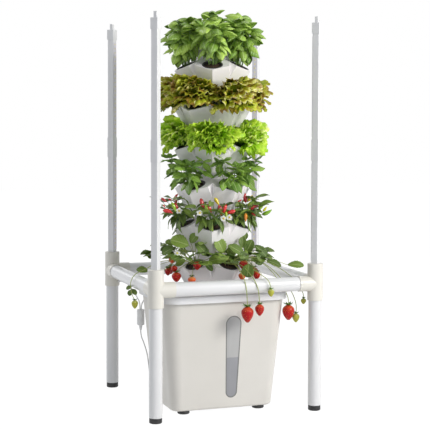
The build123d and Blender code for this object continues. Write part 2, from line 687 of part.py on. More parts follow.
plug += Pos(plug_relief_length / 2, 0, 0) * plug_relief
for side in (-1, 1):
    pin = Box(blade_pin_length, blade_pin_thick, blade_pin_width)
    plug += Pos(plug_relief_length + plug_length + blade_pin_length / 2, side * blade_pin_gap / 2, 0) * pin
parts["supply_plug"] = Pos(plug_at) * plug

os.makedirs("parts", exist_ok=True)
for node, shape in parts.items():
    export_step(shape, "parts/" + node + ".step")
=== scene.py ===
"""Looks of a hydroponic tower in a pipe frame: finishes, foliage, fruit, cords, lights and camera."""
from collections import namedtuple
from math import atan2, cos, degrees, hypot, log, pi, radians, sin
from random import Random

import bpy
from mathutils import Matrix, Vector, noise


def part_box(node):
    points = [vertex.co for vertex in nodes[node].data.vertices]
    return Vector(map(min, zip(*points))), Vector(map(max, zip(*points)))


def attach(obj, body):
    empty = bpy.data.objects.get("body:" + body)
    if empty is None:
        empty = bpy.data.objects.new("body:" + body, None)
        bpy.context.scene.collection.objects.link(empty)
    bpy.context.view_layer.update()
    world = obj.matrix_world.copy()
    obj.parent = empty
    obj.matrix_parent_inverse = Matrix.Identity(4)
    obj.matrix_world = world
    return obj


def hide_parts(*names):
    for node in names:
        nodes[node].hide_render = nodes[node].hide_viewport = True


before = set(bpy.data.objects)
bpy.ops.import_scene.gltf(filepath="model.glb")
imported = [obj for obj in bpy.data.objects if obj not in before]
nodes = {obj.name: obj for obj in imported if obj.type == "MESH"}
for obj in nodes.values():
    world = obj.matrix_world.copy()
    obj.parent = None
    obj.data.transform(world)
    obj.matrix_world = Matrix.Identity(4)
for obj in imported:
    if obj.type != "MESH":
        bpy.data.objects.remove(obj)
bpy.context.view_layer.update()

MM = 0.001
UP = Vector((0, 0, 1))

# Camera, from the photo's frame of 430 by 430 pixels
CAMERA_PLACE = (-1.539, -4.456, 1.101)
CAMERA_YAW = 19.3
CAMERA_PITCH = 3.0
CAMERA_ROLL = 0.18
CAMERA_LENS = 100.3
CAMERA_SENSOR = 36.0
CAMERA_SHIFT = -0.074
# Area lights: the name, the place, the height that it aims at, the size, the power and the colour
LIGHTS = (
    ("key", (2.2, -3.0, 2.3), 0.75, 1.5, 124, (1.0, 0.985, 0.96)),
    ("front_fill", (-2.2, -4.4, 1.8), 0.7, 2.2, 8, (0.95, 0.97, 1.0)),
    ("left_fill", (-3.0, 1.2, 2.2), 1.1, 1.6, 16, (1.0, 1.0, 1.0)),
    ("back_rim", (-1.8, 3.6, 2.6), 0.8, 1.8, 50, (1.0, 1.0, 1.0)))
WORLD_STRENGTH = 0.39
FLOOR_HALF = 14.0
FLOOR_GLOW = 1.1
FLOOR_GLOW_SHARE = 0.89

# The tower: its tiers, and where a pocket's mouth lies
TIERS = 6
POCKETS = 5
POCKET_TURN = 360 / POCKETS
TOWER_TURN = -109.2
MOUTH_REACH = 0.107
MOUTH_RISE = 0.021
MOUTH_TILT = 25.0
SPIGOT_OVER_TIP = 0.085
CORNERS = ("front_left", "front_right", "back_right", "back_left")


def add_object(name, data):
    made = bpy.data.objects.new(name, data)
    bpy.context.scene.collection.objects.link(made)
    return made


def make_camera():
    data = bpy.data.cameras.new("camera")
    data.lens = CAMERA_LENS
    data.sensor_width = CAMERA_SENSOR
    data.shift_y = CAMERA_SHIFT
    camera = add_object("camera", data)
    turn = Matrix.Rotation(radians(-CAMERA_YAW), 4, "Z")
    tilt = Matrix.Rotation(radians(90 - CAMERA_PITCH), 4, "X")
    roll = Matrix.Rotation(radians(CAMERA_ROLL), 4, "Z")
    camera.matrix_world = Matrix.Translation(CAMERA_PLACE) @ turn @ tilt @ roll
    bpy.context.scene.camera = camera


def make_lights():
    for name, place, aim, size, power, colour in LIGHTS:
        data = bpy.data.lights.new(name, "AREA")
        data.size = size
        data.energy = power
        data.color = colour
        lamp = add_object(name, data)
        lamp.location = place
        lamp.rotation_euler = (UP * aim - Vector(place)).to_track_quat("-Z", "Y").to_euler()


def add_node(tree, kind, inputs=None, **settings):
    """A shader node. Its inputs, by name or number, are set to values or linked to sockets."""
    made = tree.nodes.new("ShaderNode" + kind)
    for key, value in settings.items():
        setattr(made, key, value)
    for key, value in (inputs or {}).items():
        if isinstance(value, bpy.types.NodeSocket):
            tree.links.new(value, made.inputs[key])
        else:
            made.inputs[key].default_value = value
    return made


def view_rays(tree):
    """1 where a camera, glossy or transmission ray meets the surface."""
    rays = add_node(tree, "LightPath").outputs
    seen = rays["Is Camera Ray"]
    for kind in ("Is Glossy Ray", "Is Transmission Ray"):
        seen = add_node(tree, "Math", {0: seen, 1: rays[kind]}, operation="MAXIMUM").outputs[0]
    return seen


def mix_shaders(tree, share, lighting, seen, output):
    mix = add_node(tree, "MixShader", {0: share, 1: lighting.outputs[0], 2: seen.outputs[0]})
    add_node(tree, output, {"Surface": mix.outputs[0]})


def make_world():
    world = bpy.data.worlds.new("studio")
    bpy.context.scene.world = world
    world.use_nodes = True
    tree = world.node_tree
    tree.nodes.clear()
    soft = add_node(tree, "Background", {"Color": (0.90, 0.94, 1.0, 1), "Strength": WORLD_STRENGTH})
    white = add_node(tree, "Background", {"Color": (1, 1, 1, 1), "Strength": 1.0})
    mix_shaders(tree, view_rays(tree), soft, white, "OutputWorld")


def make_floor():
    mesh = bpy.data.meshes.new("floor")
    corners = [(x * FLOOR_HALF, y * FLOOR_HALF, 0) for x, y in ((-1, -1), (1, -1), (1, 1), (-1, 1))]
    mesh.from_pydata(corners, [], [(0, 1, 2, 3)])
    material = bpy.data.materials.new("floor_paint")
    material.use_nodes = True
    tree = material.node_tree
    tree.nodes.clear()
    paint = add_node(tree, "BsdfDiffuse", {"Color": (0.86, 0.86, 0.86, 1)})
    glow = add_node(tree, "Emission", {"Color": (1, 1, 1, 1), "Strength": FLOOR_GLOW})
    share = add_node(tree, "Math", {0: view_rays(tree), 1: FLOOR_GLOW_SHARE}, operation="MULTIPLY")
    mix_shaders(tree, share.outputs[0], paint, glow, "OutputMaterial")
    mesh.materials.append(material)
    add_object("floor", mesh)


class Finish:
    """A procedural material with short calls for the nodes it needs."""

    def __init__(self, name, colour, rough, spec=0.5, coat=0.0):
        self.material = bpy.data.materials.new(name)
        self.material.use_nodes = True
        self.tree = self.material.node_tree
        self.shader = self.tree.nodes["Principled BSDF"]
        for key, value in (("Base Color", (*colour, 1)), ("Roughness", rough), ("Specular IOR Level", spec),
                           ("Coat Weight", coat)):
            self.shader.inputs[key].default_value = value
        self.where = self.node("TexCoord").outputs["Object"]

    def node(self, kind, inputs=None, **settings):
        return add_node(self.tree, kind, inputs, **settings)

    def drive(self, key, source):
        self.tree.links.new(source, self.shader.inputs[key])

    def noise(self, scale, detail=3.0, stretch=(1, 1, 1)):
        squeeze = self.node("Mapping", {"Vector": self.where, "Scale": stretch})
        inputs = {"Vector": squeeze.outputs[0], "Scale": scale, "Detail": detail}
        return self.node("TexNoise", inputs).outputs["Fac"]

    def ramp(self, source, stops):
        """A colour ramp: stops are (place, colour)."""
        made = self.node("ValToRGB", {"Fac": source})
        elements = made.color_ramp.elements
        while len(elements) < len(stops):
            elements.new(0.5)
        for element, (place, colour) in zip(elements, stops):
            element.position = place
            element.color = (*colour, 1)
        return made.outputs["Color"]

    def math(self, operation, *values):
        return self.node("Math", dict(enumerate(values)), operation=operation).outputs[0]

    def times(self, *values):
        """The first value times the second, plus the third if there is one."""
        return self.math("MULTIPLY_ADD" if len(values) > 2 else "MULTIPLY", *values)

    def mix(self, share, *colours):
        """Mixes two colours, each a socket or three numbers."""
        a, b = ((*colour, 1) if isinstance(colour, tuple) else colour for colour in colours)
        return self.node("Mix", {"Factor": share, 6: a, 7: b}, data_type="RGBA").outputs[2]

    def within(self, source, low, high):
        """0 below low, 1 above high and straight between them."""
        return self.node("MapRange", {"Value": source, "From Min": low, "From Max": high}).outputs[0]

    def ribs(self, source, count, power):
        """A wave along a coordinate, and its crests narrowed to ribs."""
        wave = self.math("SINE", self.times(source, 2 * pi * count))
        return wave, self.math("POWER", self.math("MAXIMUM", wave, 0.0), power)

    def rough(self, source, low, high):
        spread = self.node("MapRange", {"Value": source, "To Min": low, "To Max": high})
        self.drive("Roughness", spread.outputs[0])

    def bump(self, height, depth, strength):
        made = self.node("Bump", {"Height": height, "Distance": depth, "Strength": strength})
        self.drive("Normal", made.outputs[0])

    def leaf_info(self):
        """The leaf attribute: place along the leaf, place across it, and a number for each leaf."""
        made = self.node("Attribute", attribute_name="leaf")
        return self.node("SeparateXYZ", {0: made.outputs["Vector"]}).outputs


def surface(name, base, rough, stops, tone, grain=None, gloss=None, coat=0.0, stretch=(1, 1, 1)):
    """Tone that drifts along a ramp, with a grain and an uneven gloss where given.

    Tone, grain and gloss start with the scale and detail of their noise. Grain goes on with the depth and
    strength of the bump, gloss with the lowest and highest roughness."""
    finish = Finish(name, base, rough, coat=coat)
    finish.drive("Base Color", finish.ramp(finish.noise(*tone), stops))
    if gloss:
        finish.rough(finish.noise(*gloss[:2], stretch), *gloss[2:])
    if grain:
        finish.bump(finish.noise(*grain[:2], stretch), *grain[2:])
    return finish.material


def plastic(name, colour, rough, grain=900.0, depth=0.00006, coat=0.0):
    """Moulded plastic: a faint drift of tone, uneven gloss and a fine grain."""
    darker = tuple(c * 0.96 for c in colour)
    return surface(name, colour, rough, ((0.35, darker), (0.65, colour)), (5.0, 4.0),
                   (grain, 2.0, depth, 0.35), (30.0, 4.0, rough * 0.85, rough * 1.2), coat)


def pipe_finish(name, colour, stretch=(1.0, 1.0, 0.02)):
    """Extruded pipe: fine draw lines along its length under a soft gloss."""
    darker = tuple(c * 0.97 for c in colour)
    return surface(name, colour, 0.28, ((0.35, darker), (0.65, colour)), (4.0, 3.0),
                   (420.0, 2.0, 0.00005, 0.3), (420.0, 2.0, 0.24, 0.36), 0.25, stretch)


def stem_finish(name, low, high):
    return surface(name, high, 0.5, ((0.3, low), (0.7, high)), (120.0, 3.0), (700.0, 2.0, 0.0002, 0.4))


# The level window of the tank: the water line, and the middles and radii of its two rounded ends
WATER_LEVEL = 0.210
WINDOW_X = 0.003
WINDOW_LOW = 0.077
WINDOW_HIGH = 0.339
WINDOW_LOW_R = 0.023
WINDOW_HIGH_R = 0.031


def window_finish():
    """Translucent grey panel with the water line behind it and painted shade in a dark band round its
    recessed edge.
    """
    finish = Finish("level_window", (0.42, 0.42, 0.41), 0.22, coat=0.3)
    place = finish.node("SeparateXYZ", {0: finish.where}).outputs
    wet = finish.math("LESS_THAN", place[2], finish.times(finish.noise(40.0), 0.004, WATER_LEVEL - 0.002))
    haze = finish.noise(18.0, 4.0, (1, 1, 0.2))
    dry = finish.ramp(haze, ((0.3, (0.37, 0.37, 0.37)), (0.75, (0.47, 0.47, 0.465))))
    below = finish.ramp(haze, ((0.3, (0.25, 0.25, 0.27)), (0.75, (0.33, 0.335, 0.355))))
    share = finish.within(place[2], WINDOW_LOW, WINDOW_HIGH)
    middle = finish.times(share, WINDOW_HIGH - WINDOW_LOW, WINDOW_LOW)
    r = finish.times(share, WINDOW_HIGH_R - WINDOW_LOW_R, WINDOW_LOW_R)
    dx = finish.math("POWER", finish.math("SUBTRACT", place[0], WINDOW_X), 2.0)
    dz = finish.math("POWER", finish.math("SUBTRACT", place[2], middle), 2.0)
    off = finish.math("SUBTRACT", finish.math("SQRT", finish.math("ADD", dx, dz)), r)
    # Painted shade: a dark band just inside the window's outline stands in for the shade of its recessed edge
    painted_recess_shade = finish.within(off, -0.006, -0.002)
    finish.drive("Base Color", finish.mix(painted_recess_shade, finish.mix(wet, dry, below), (0.17, 0.17, 0.165)))
    finish.bump(finish.noise(500.0, 2.0), 0.00008, 0.3)
    return finish.material


def leaf_finish(name, deep, bright, vein, veins=6.0, rough=0.42):
    """A leaf: tone that varies from leaf to leaf, a pale midrib and slanting veins."""
    finish = Finish(name, bright, rough, spec=0.4)
    along, across, chance = finish.leaf_info()
    side = finish.math("ABSOLUTE", across)
    cloud = finish.noise(90.0, 4.0)
    blade = finish.ramp(finish.times(chance, 0.6, finish.times(cloud, 0.4)), ((0.1, deep), (0.85, bright)))
    wave, ribs = finish.ribs(finish.times(side, -0.35, along), veins, 9.0)
    midrib = finish.math("LESS_THAN", side, 0.06)
    lines = finish.times(finish.math("MAXIMUM", finish.times(ribs, 0.45), midrib), 0.55)
    finish.drive("Base Color", finish.mix(lines, blade, vein))
    finish.rough(cloud, rough * 0.8, rough * 1.25)
    finish.bump(finish.times(wave, -0.5, finish.times(cloud, 0.6)), 0.0012, 0.6)
    return finish.material


def lettuce_finish(name, heart, body, rim, tip, blush):
    """A lettuce leaf: a greener heart with painted shade deep in the head, blushed in patches, with a painted
    highlight on the edge of its frills.
    """
    finish = Finish(name, body, 0.4, spec=0.4)
    along, across, chance = finish.leaf_info()
    cloud = finish.noise(110.0, 5.0)
    drift = finish.times(chance, 0.2, finish.times(cloud, 0.5))
    tone = finish.times(along, 0.8, finish.math("SUBTRACT", drift, 0.35))
    # The heart colour is the leaf's greener base darkened as painted shade; the tip colour is a painted
    # highlight where the frill edges catch the light
    shade = finish.ramp(tone, ((0.17, heart), (0.52, body), (0.80, rim), (0.95, tip)))
    flush = finish.times(finish.within(finish.noise(34.0), 0.46, 0.62), finish.math("POWER", along, 1.5))
    shade = finish.mix(finish.times(flush, 0.85), shade, blush)
    ribs = finish.ribs(across, 5, 6.0)[1]
    fading = finish.times(ribs, finish.math("SUBTRACT", 0.8, along))
    finish.drive("Base Color", finish.mix(finish.math("MAXIMUM", finish.times(fading, 0.5), 0.0), shade, rim))
    finish.rough(cloud, 0.32, 0.52)
    finish.bump(finish.math("ADD", cloud, finish.noise(260.0)), 0.002, 0.8)
    return finish.material


def fruit_finish(name, deep, bright):
    """Smooth waxy skin."""
    finish = Finish(name, bright, 0.18, coat=0.5)
    tone = finish.times(finish.noise(60.0), 0.5, finish.times(finish.leaf_info()[2], 0.5))
    finish.drive("Base Color", finish.ramp(tone, ((0.2, deep), (0.7, bright))))
    finish.bump(finish.noise(300.0, 2.0), 0.0003, 0.2)
    return finish.material


def berry_finish(name, skin, pale, seed):
    """Berry skin with sunken seeds."""
    finish = Finish(name, skin, 0.30, spec=0.22, coat=0.08)
    shoulder = finish.ramp(finish.leaf_info()[0], ((0.05, pale), (0.3, skin)))
    cells = finish.node("TexVoronoi", {"Vector": finish.where, "Scale": 260.0})
    pits = cells.outputs["Distance"]
    dot = finish.math("LESS_THAN", pits, 0.2)
    finish.drive("Base Color", finish.mix(finish.times(dot, 0.75), shoulder, seed))
    finish.bump(finish.math("MINIMUM", pits, 0.45), 0.0022, 0.8)
    return finish.material


class Growth:
    """Collects sheets and tubes into one mesh, with the leaf attribute at each point."""

    def __init__(self):
        self.points = []
        self.faces = []
        self.info = []

    def sheet(self, rows, info=None, closed=False, ends=False):
        """Quads between rows of points. A closed sheet joins each row's last point to its first."""
        start = len(self.points)
        wide = len(rows[0])
        for row, row_info in zip(rows, info or [[(0, 0, 0.5)] * wide] * len(rows)):
            self.points += row
            self.info += row_info
        for j in range(len(rows) - 1):
            for i in range(wide if closed else wide - 1):
                a = start + j * wide + i
                b = start + j * wide + (i + 1) % wide
                self.faces.append((a, b, b + wide, a + wide))
        if ends:
            last = len(self.points) - wide
            self.faces += [tuple(range(last, last + wide)), tuple(range(start + wide - 1, start - 1, -1))]

    def piece(self, name, material, slot, node=None, body="root", thick=0.0, smooth=True):
        """The mesh as a piece that rides on a body and stands for a node of the CAD if one is given."""
        mesh = bpy.data.meshes.new(name)
        mesh.from_pydata(self.points, [], self.faces)
        mesh.update()
        attribute = mesh.attributes.new("leaf", "FLOAT_VECTOR", "POINT")
        attribute.data.foreach_set("vector", [x for info in self.info for x in info])
        mesh.polygons.foreach_set("use_smooth", [smooth] * len(mesh.polygons))
        mesh.materials.append(material)
        piece = add_object(name, mesh)
        if thick:
            sheet = piece.modifiers.new("thickness", "SOLIDIFY")
            sheet.thickness = thick
            sheet.offset = 0
        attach(piece, body)
        if node:
            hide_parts(node)


def look(origin, heading, up=UP):
    """A matrix at origin with X along heading and Z as near up as it can be."""
    x = heading.normalized()
    y = up.cross(x)
    if y.length < 1e-4:
        y = Vector((0, 1, 0)).cross(x)
    y.normalize()
    turned = Matrix((x, y, x.cross(y))).transposed().to_4x4()
    turned.translation = origin
    return turned


# Outside of a planter tier, in its own frame: a pocket's front ridge, its sides, its mouth and the neck
RIDGE_REACH = 0.152
RIDGE_SLOPE = 0.6056
FACET_SLOPE = 0.741
POCKET_HALF = 0.064
MOUTH_SLOPE = 0.4663
TIER_BASE = -0.081
NECK_R = 0.062
NECK_TOP = 0.089
CAP_LIFT = 0.032
KNOB_R = 0.014
KNOB_OVER_CAP = 0.010
WALL_MARGIN = 0.0015
MOUTH_MARGIN = 0.004


def read_tiers():
    """The axis, the pocket tip height and the turn of each tier."""
    low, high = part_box("riser_pipe")
    axis = (low + high) / 2
    return [(axis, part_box("planter_tier_" + str(i + 1))[1].z - SPIGOT_OVER_TIP,
             TOWER_TURN + POCKET_TURN / 2 * (i % 2)) for i in range(TIERS)]


TIER_FRAMES = read_tiers()
VIEW_RIGHT = Vector((0.944, -0.330, 0))
VIEW_BACK = Vector((-0.330, -0.944, 0))


def inside_planter(point):
    """Whether a point lies inside the outside of any tier and its neck, or where the top cap lifts."""
    for tier, (middle, tip, turn) in enumerate(TIER_FRAMES):
        z = point.z - tip
        dx, dy = point.x - middle.x, point.y - middle.y
        r = hypot(dx, dy)
        over_neck = z - NECK_TOP
        if tier == 0 and 0 <= over_neck < CAP_LIFT + (KNOB_OVER_CAP if r < KNOB_R else 0) and r < NECK_R:
            return True
        if not TIER_BASE < z < NECK_TOP:
            continue
        if r < NECK_R + WALL_MARGIN:
            return True
        a = (degrees(atan2(dy, dx)) - turn + POCKET_TURN / 2) % POCKET_TURN - POCKET_TURN / 2
        x = r * cos(radians(a))
        y = abs(r * sin(radians(a)))
        under_mouth = z < (RIDGE_REACH - x) * MOUTH_SLOPE - MOUTH_MARGIN
        in_facets = x + FACET_SLOPE * y < RIDGE_REACH + z * RIDGE_SLOPE + WALL_MARGIN
        if under_mouth and in_facets and y < POCKET_HALF + WALL_MARGIN:
            return True
    return False


def circle(count):
    """The cosine and sine of each of a number of equal turns."""
    return [(cos(2 * pi * k / count), sin(2 * pi * k / count)) for k in range(count)]


def tube(growth, path, radii, sides, rng):
    """A round tube with closed ends along points, with a radius at each point."""
    chance = rng.random()
    rows = [[path[0]] * sides]
    info = [[(0, 0.5, chance)] * sides]
    side = None
    for i, point in enumerate(path):
        ahead = path[min(i + 1, len(path) - 1)] - path[max(i - 1, 0)]
        ahead.normalize()
        if side is None:
            side = ahead.orthogonal().normalized()
        side = (side - ahead * side.dot(ahead)).normalized()
        other = ahead.cross(side)
        rows.append([point + (side * c + other * s) * radii[i] for c, s in circle(sides)])
        info.append([(i / (len(path) - 1), 0.5, chance)] * sides)
    rows.append([path[-1]] * sides)
    info.append([(1, 0.5, chance)] * sides)
    growth.sheet(rows, info, closed=True)


def arc_path(start, heading, length, bend, steps, towards=-UP):
    """Points along a stem that starts along heading and turns towards a direction."""
    path = [Vector(start)]
    way = heading.normalized()
    for i in range(steps):
        way = (way + towards * bend / steps).normalized()
        path.append(path[-1] + way * length / steps)
    return path


def blade_rows(place, length, width, form, rng):
    """A leaf blade on a grid: X along, Y across, Z its upper side. Gives its rows and their leaf values."""
    rows = []
    info = []
    power = log(0.5) / log(form.widest)
    chance = rng.random()
    phase = rng.uniform(0, 6.28)
    x = z = 0.0
    bend = form.bend * rng.uniform(0.7, 1.3)
    twist = rng.uniform(-0.25, 0.25)
    for j in range(form.rows + 1):
        v = j / form.rows
        lean = -bend * v
        if j:
            x += length / form.rows * cos(lean)
            z += length / form.rows * sin(lean)
        half = width / 2 * max(sin(pi * v ** power), 0.0) ** form.full
        half = max(half, width * 0.015)
        if form.teeth and 0 < j < form.rows:
            half *= 1 + form.teeth * (1 if j % 2 else -1)
        rows.append([])
        info.append([])
        for i in range(-form.cols, form.cols + 1):
            u = i / form.cols
            fold = form.cup * abs(u)
            y = half * u * cos(fold)
            lift = half * abs(u) * sin(fold)
            ripple = sin(form.waves * 2 * pi * v + phase + (2 if u < 0 else 0))
            lift += form.wave * width * u * u * ripple + twist * v * y
            rows[-1].append(place @ Vector((x - sin(lean) * lift, y, z + cos(lean) * lift)))
            info[-1].append((v, u, chance))
    return rows, info


def frill_rows(place, length, width, form, rng):
    """A frilled lettuce leaf: a fan whose rim is too long to lie flat, so it ruffles."""
    chance = rng.random()
    phase = rng.uniform(0, 6.28)
    bend = form.bend * rng.uniform(0.7, 1.3)
    rows = []
    info = []
    for j in range(form.rings + 1):
        v = j / form.rings
        open_share = 0.22 + 0.78 * v ** 0.8
        grip = v ** form.grip
        lean = bend * v * v
        big = form.wave * length * grip
        small = form.curl * length * v ** 5
        rows.append([])
        info.append([])
        for i in range(form.rays + 1):
            u = 2 * i / form.rays - 1
            angle = u * form.spread * open_share
            reach = length * (1 - 0.3 * u * u) * (1 + 0.1 * grip * noise.noise(Vector((u * 6, phase, 0.3))))
            far = v * reach
            x = far * cos(angle * 0.8)
            y = far * sin(angle) * width / length
            z = -far * sin(lean) * 0.6 + form.cup * y * y / length
            x *= cos(lean * 0.7)
            turn_big = form.waves * pi * u + phase
            turn_small = form.curls * pi * u + 2.3 * phase + 6 * v
            z += big * sin(turn_big) + small * sin(turn_small)
            push = small * cos(turn_small) + 0.5 * big * cos(turn_big)
            crinkle = form.crinkle * length * noise.noise(Vector((u * 9, v * 11, phase)))
            rows[-1].append(place @ Vector((x + 0.7 * push, y + 0.9 * push * u, z + crinkle)))
            info[-1].append((v, u * 0.9, chance))
    return rows, info


def turned(rng, spin, pitch):
    """A heading from a spin about Z and a pitch above the level, in degrees, with a little scatter."""
    a = radians(spin + rng.uniform(-12, 12))
    b = radians(pitch + rng.uniform(-10, 10))
    return Vector((cos(a) * cos(b), sin(a) * cos(b), sin(b)))


# Degrees by which a leaf is raised or lowered, tried one after the other
LEAF_LIFTS = (0, 18, -22, 36, -44)


def grow(growth, pot, at, spin, pitch, length, form, rng, outward=0.0):
    """Sets a leaf in a pot's frame, raised or lowered until it clears the planter, or leaves it out."""
    make_rows = frill_rows if isinstance(form, Frill) else blade_rows
    for lift in LEAF_LIFTS:
        heading = turned(rng, spin, pitch + lift) + Vector((outward, 0, 0))
        roll = Matrix.Rotation(rng.uniform(-1, 1) * form.roll, 4, "X")
        rows, info = make_rows(pot @ look(at, heading) @ roll, length, length * form.breadth, form, rng)
        if not any(inside_planter(point) for row in rows[1:] for point in row[::2]):
            growth.sheet(rows, info)
            return True
    return False


# A leaf blade: the grid, the outline, how it bends, cups and waves, its teeth, its breadth for a length
# of 1 and how far it may roll about its length
Blade = namedtuple("Blade", "rows cols widest full bend cup wave waves teeth breadth roll", defaults=(0, 0))
BASIL = Blade(10, 4, 0.43, 0.70, 1.25, -0.6, 0.03, 1.5, 0.0, 0.7, 0.5)
MINT = Blade(9, 3, 0.45, 0.72, 0.7, -0.25, 0.04, 2.0, 0.05, 0.56, 0.7)
CHILLI = Blade(7, 2, 0.38, 0.95, 0.8, 0.3, 0.06, 1.5, 0.0, 0.38, 0.8)
STRAWBERRY = Blade(12, 4, 0.54, 0.6, 0.5, 0.25, 0.02, 2.0, 0.045, 0.86, 0.4)
PETAL = Blade(4, 2, 0.55, 0.6, 0.3, 0.2, 0.0, 1, 0.0)
SEPAL = Blade(5, 1, 0.4, 0.9, -0.9, 0.2, 0.0, 1, 0.0)
# A frilled leaf: its large waves and small curls grow towards the rim
Frill = namedtuple("Frill", "rays rings spread bend cup grip wave waves curl curls crinkle breadth roll")
RED_LETTUCE = Frill(52, 10, 1.35, 0.75, 0.4, 2.4, 0.085, 2.6, 0.06, 12.0, 0.06, 0.95, 0.5)
GREEN_LETTUCE = Frill(60, 10, 1.35, 0.7, 0.4, 2.2, 0.10, 4.2, 0.085, 14.0, 0.09, 0.80, 0.5)
STEM_STEPS = 6
STALK_STEPS = 8
# Share of a stem's height at its top pair of leaves, degrees by which the pairs rise from the foot of the
# stem to its top, and the pitch of the leaves of its crown
TOP_PAIR = 0.94
LEAF_RISE = 80
CROWN_PITCH = 46
ROOT_R = 0.013
GOLDEN_TURN = 137.5
HEART_PITCH = 74
LEAF_THICK = 0.0005
LETTUCE_THICK = 0.0006


def leafy_stem(leaves, stems, pot, rng, start, heading, height, form, sizes, pairs, droop, crown, thick,
               bare):
    """An upright stem with pairs of leaves over its bare foot, each pair a quarter turn from the last."""
    path = arc_path(start, heading, height, 0.35, STEM_STEPS, UP)
    if any(inside_planter(pot @ p) for p in path[2:]):
        return
    radii = [thick * (1 - 0.5 * i / STEM_STEPS) for i in range(STEM_STEPS + 1)]
    tube(stems, [pot @ p for p in path], radii, 6, rng)
    spin = rng.uniform(0, 360)
    for pair in range(pairs):
        share = bare + (TOP_PAIR - bare) * pair / (pairs - 1)
        index = min(int(share * STEM_STEPS), STEM_STEPS - 1)
        at = path[index].lerp(path[index + 1], share * STEM_STEPS - index)
        size = sizes[0] + (sizes[1] - sizes[0]) * share
        for side in (0, 180):
            pitch = droop + LEAF_RISE * share
            grow(leaves, pot, at, spin + side, pitch, size * rng.uniform(0.85, 1.15), form, rng)
        spin += 90
    for k in range(4):
        size = sizes[1] * crown * rng.uniform(0.8, 1.1)
        grow(leaves, pot, path[-1], spin + 90 * k, CROWN_PITCH, size, form, rng)


def spread_stems(rng, count, outward, lowest, highest):
    """Starts and headings of the stems of one plant, leaning outwards from the tower."""
    for k in range(count):
        a = radians(360 * k / count + rng.uniform(-20, 20))
        out = rng.uniform(lowest, highest)
        yield Vector((cos(a), sin(a), 0)) * ROOT_R, Vector((cos(a) * out + outward, sin(a) * out, 1))


def in_view(angle, towards):
    """A direction seen at an angle in degrees in the picture, 0 to the right and 90 up."""
    a = radians(angle)
    return (VIEW_RIGHT * cos(a) + UP * sin(a) + VIEW_BACK * towards).normalized()


def pot_place(tier, pocket):
    """The middle of a pocket's mouth, with X outwards from the tower and Z up."""
    axis, tip, turn = TIER_FRAMES[tier]
    a = radians(turn + POCKET_TURN * pocket)
    out = Vector((cos(a), sin(a), 0))
    return look(Vector((axis.x, axis.y, tip + MOUTH_RISE)) + out * MOUTH_REACH, out)


def each_pot(tier, seed):
    """The place of each pot of a tier, with random draws of its own."""
    for pocket in range(POCKETS):
        yield pot_place(tier, pocket), Random(seed + pocket)


def stalk(stems, tier, end, rise, r, rng):
    """A stem from the nearest pot of a tier to a place. It first rises, then arches over."""
    pots = [pot_place(tier, pocket).translation.copy() for pocket in range(POCKETS)]
    start = min(pots, key=lambda p: (p - end).length)
    high = start.lerp(end, 0.55) + UP * rise
    path = []
    for i in range(STALK_STEPS + 1):
        t = i / STALK_STEPS
        path.append(start * (1 - t) ** 2 + high * 2 * t * (1 - t) + end * t * t)
    tube(stems, path, [r * (1 - 0.35 * i / STALK_STEPS) for i in range(STALK_STEPS + 1)], 5, rng)


POD_SHARES = (0.35, 0.85, 1.0, 1.0, 0.9, 0.72, 0.45, 0.12)
BERRY_SHARES = (0.35, 0.72, 0.93, 1.0, 0.985, 0.92, 0.81, 0.66, 0.47, 0.22)


def pod(growth, base, way, length, r, rng):
    """A chilli: a waxy tapered pod from its stem end along a direction, slightly bent."""
    side = way.orthogonal().normalized()
    bow = rng.uniform(-0.14, 0.14) * length
    last = len(POD_SHARES) - 1
    path = [base + way * length * i / last + side * bow * sin(pi * i / last) for i in range(last + 1)]
    tube(growth, path, [r * share for share in POD_SHARES], 10, rng)


def star(growth, at, facing, count, form, length, width, rng, lift):
    """Petals or sepals round a direction."""
    side = facing.orthogonal().normalized()
    other = facing.cross(side)
    b = radians(lift)
    for c, s in circle(count):
        place = look(at, (side * c + other * s) * cos(b) + facing * sin(b), facing)
        growth.sheet(*blade_rows(place, length * rng.uniform(0.9, 1.1), width, form, rng))


def berry(growth, calyxes, at, length, r, rng):
    """A strawberry that hangs from its calyx, wide at the shoulder and pointed below."""
    last = len(BERRY_SHARES) - 1
    path = [at - UP * length * i / last for i in range(last + 1)]
    tube(growth, path, [r * share for share in BERRY_SHARES], 18, rng)
    star(calyxes, at + UP * 0.0005, UP, 8, SEPAL, r * 1.05, r * 0.5, rng, -6)
    tube(calyxes, [at - UP * 0.001, at + UP * 0.0035], [r * 0.22, r * 0.12], 6, rng)


# Leaves further left than this hang on the left truss
LEFT_TRUSS_X = -0.3


def set_leaves(table, leaves, stems, tier, form, rng, lean, rise, r):
    """Leaves set one by one, each on a stalk from the nearest pot apart from those on the left truss."""
    upper = (UP * lean + VIEW_BACK).normalized()
    for *centre, angle, length, width in table:
        way = in_view(angle, 0.25)
        base = Vector(centre) * MM - way * length * MM / 2
        leaves.sheet(*blade_rows(look(base, way, upper), length * MM, width * MM, form, rng))
        if base.x > LEFT_TRUSS_X:
            stalk(stems, tier, base, rise, r, rng)


FLOWER_R = 0.0125


def set_flowers(table, petals, centres, stems, tier, shift, lean, r, rng):
    """Flowers set one by one, each on a stalk: five white petals round a small yellow dome."""
    facing = (VIEW_BACK + UP * lean).normalized()
    for centre in table:
        at = Vector(centre) * MM + shift
        stalk(stems, tier, at, 0.02, r, rng)
        star(petals, at, facing, 5, PETAL, FLOWER_R, FLOWER_R * 0.85, rng, 12)
        path = [at + facing * FLOWER_R * share for share in (0.0, 0.12, 0.22, 0.26)]
        tube(centres, path, [FLOWER_R * share for share in (0.34, 0.33, 0.2, 0.05)], 10, rng)


def finish_plants(kind, leaves, finish, thick, others=()):
    """The leaves of one kind stand for its solid. Other growths become pieces too, each with its name and
    material.
    """
    slot = kind + "_leaf"
    leaves.piece(kind + "_leaves", finish, slot, kind + "_plants", thick=thick)
    for growth, name, material in others:
        growth.piece(name, material, slot)


POT_SIDES = 24
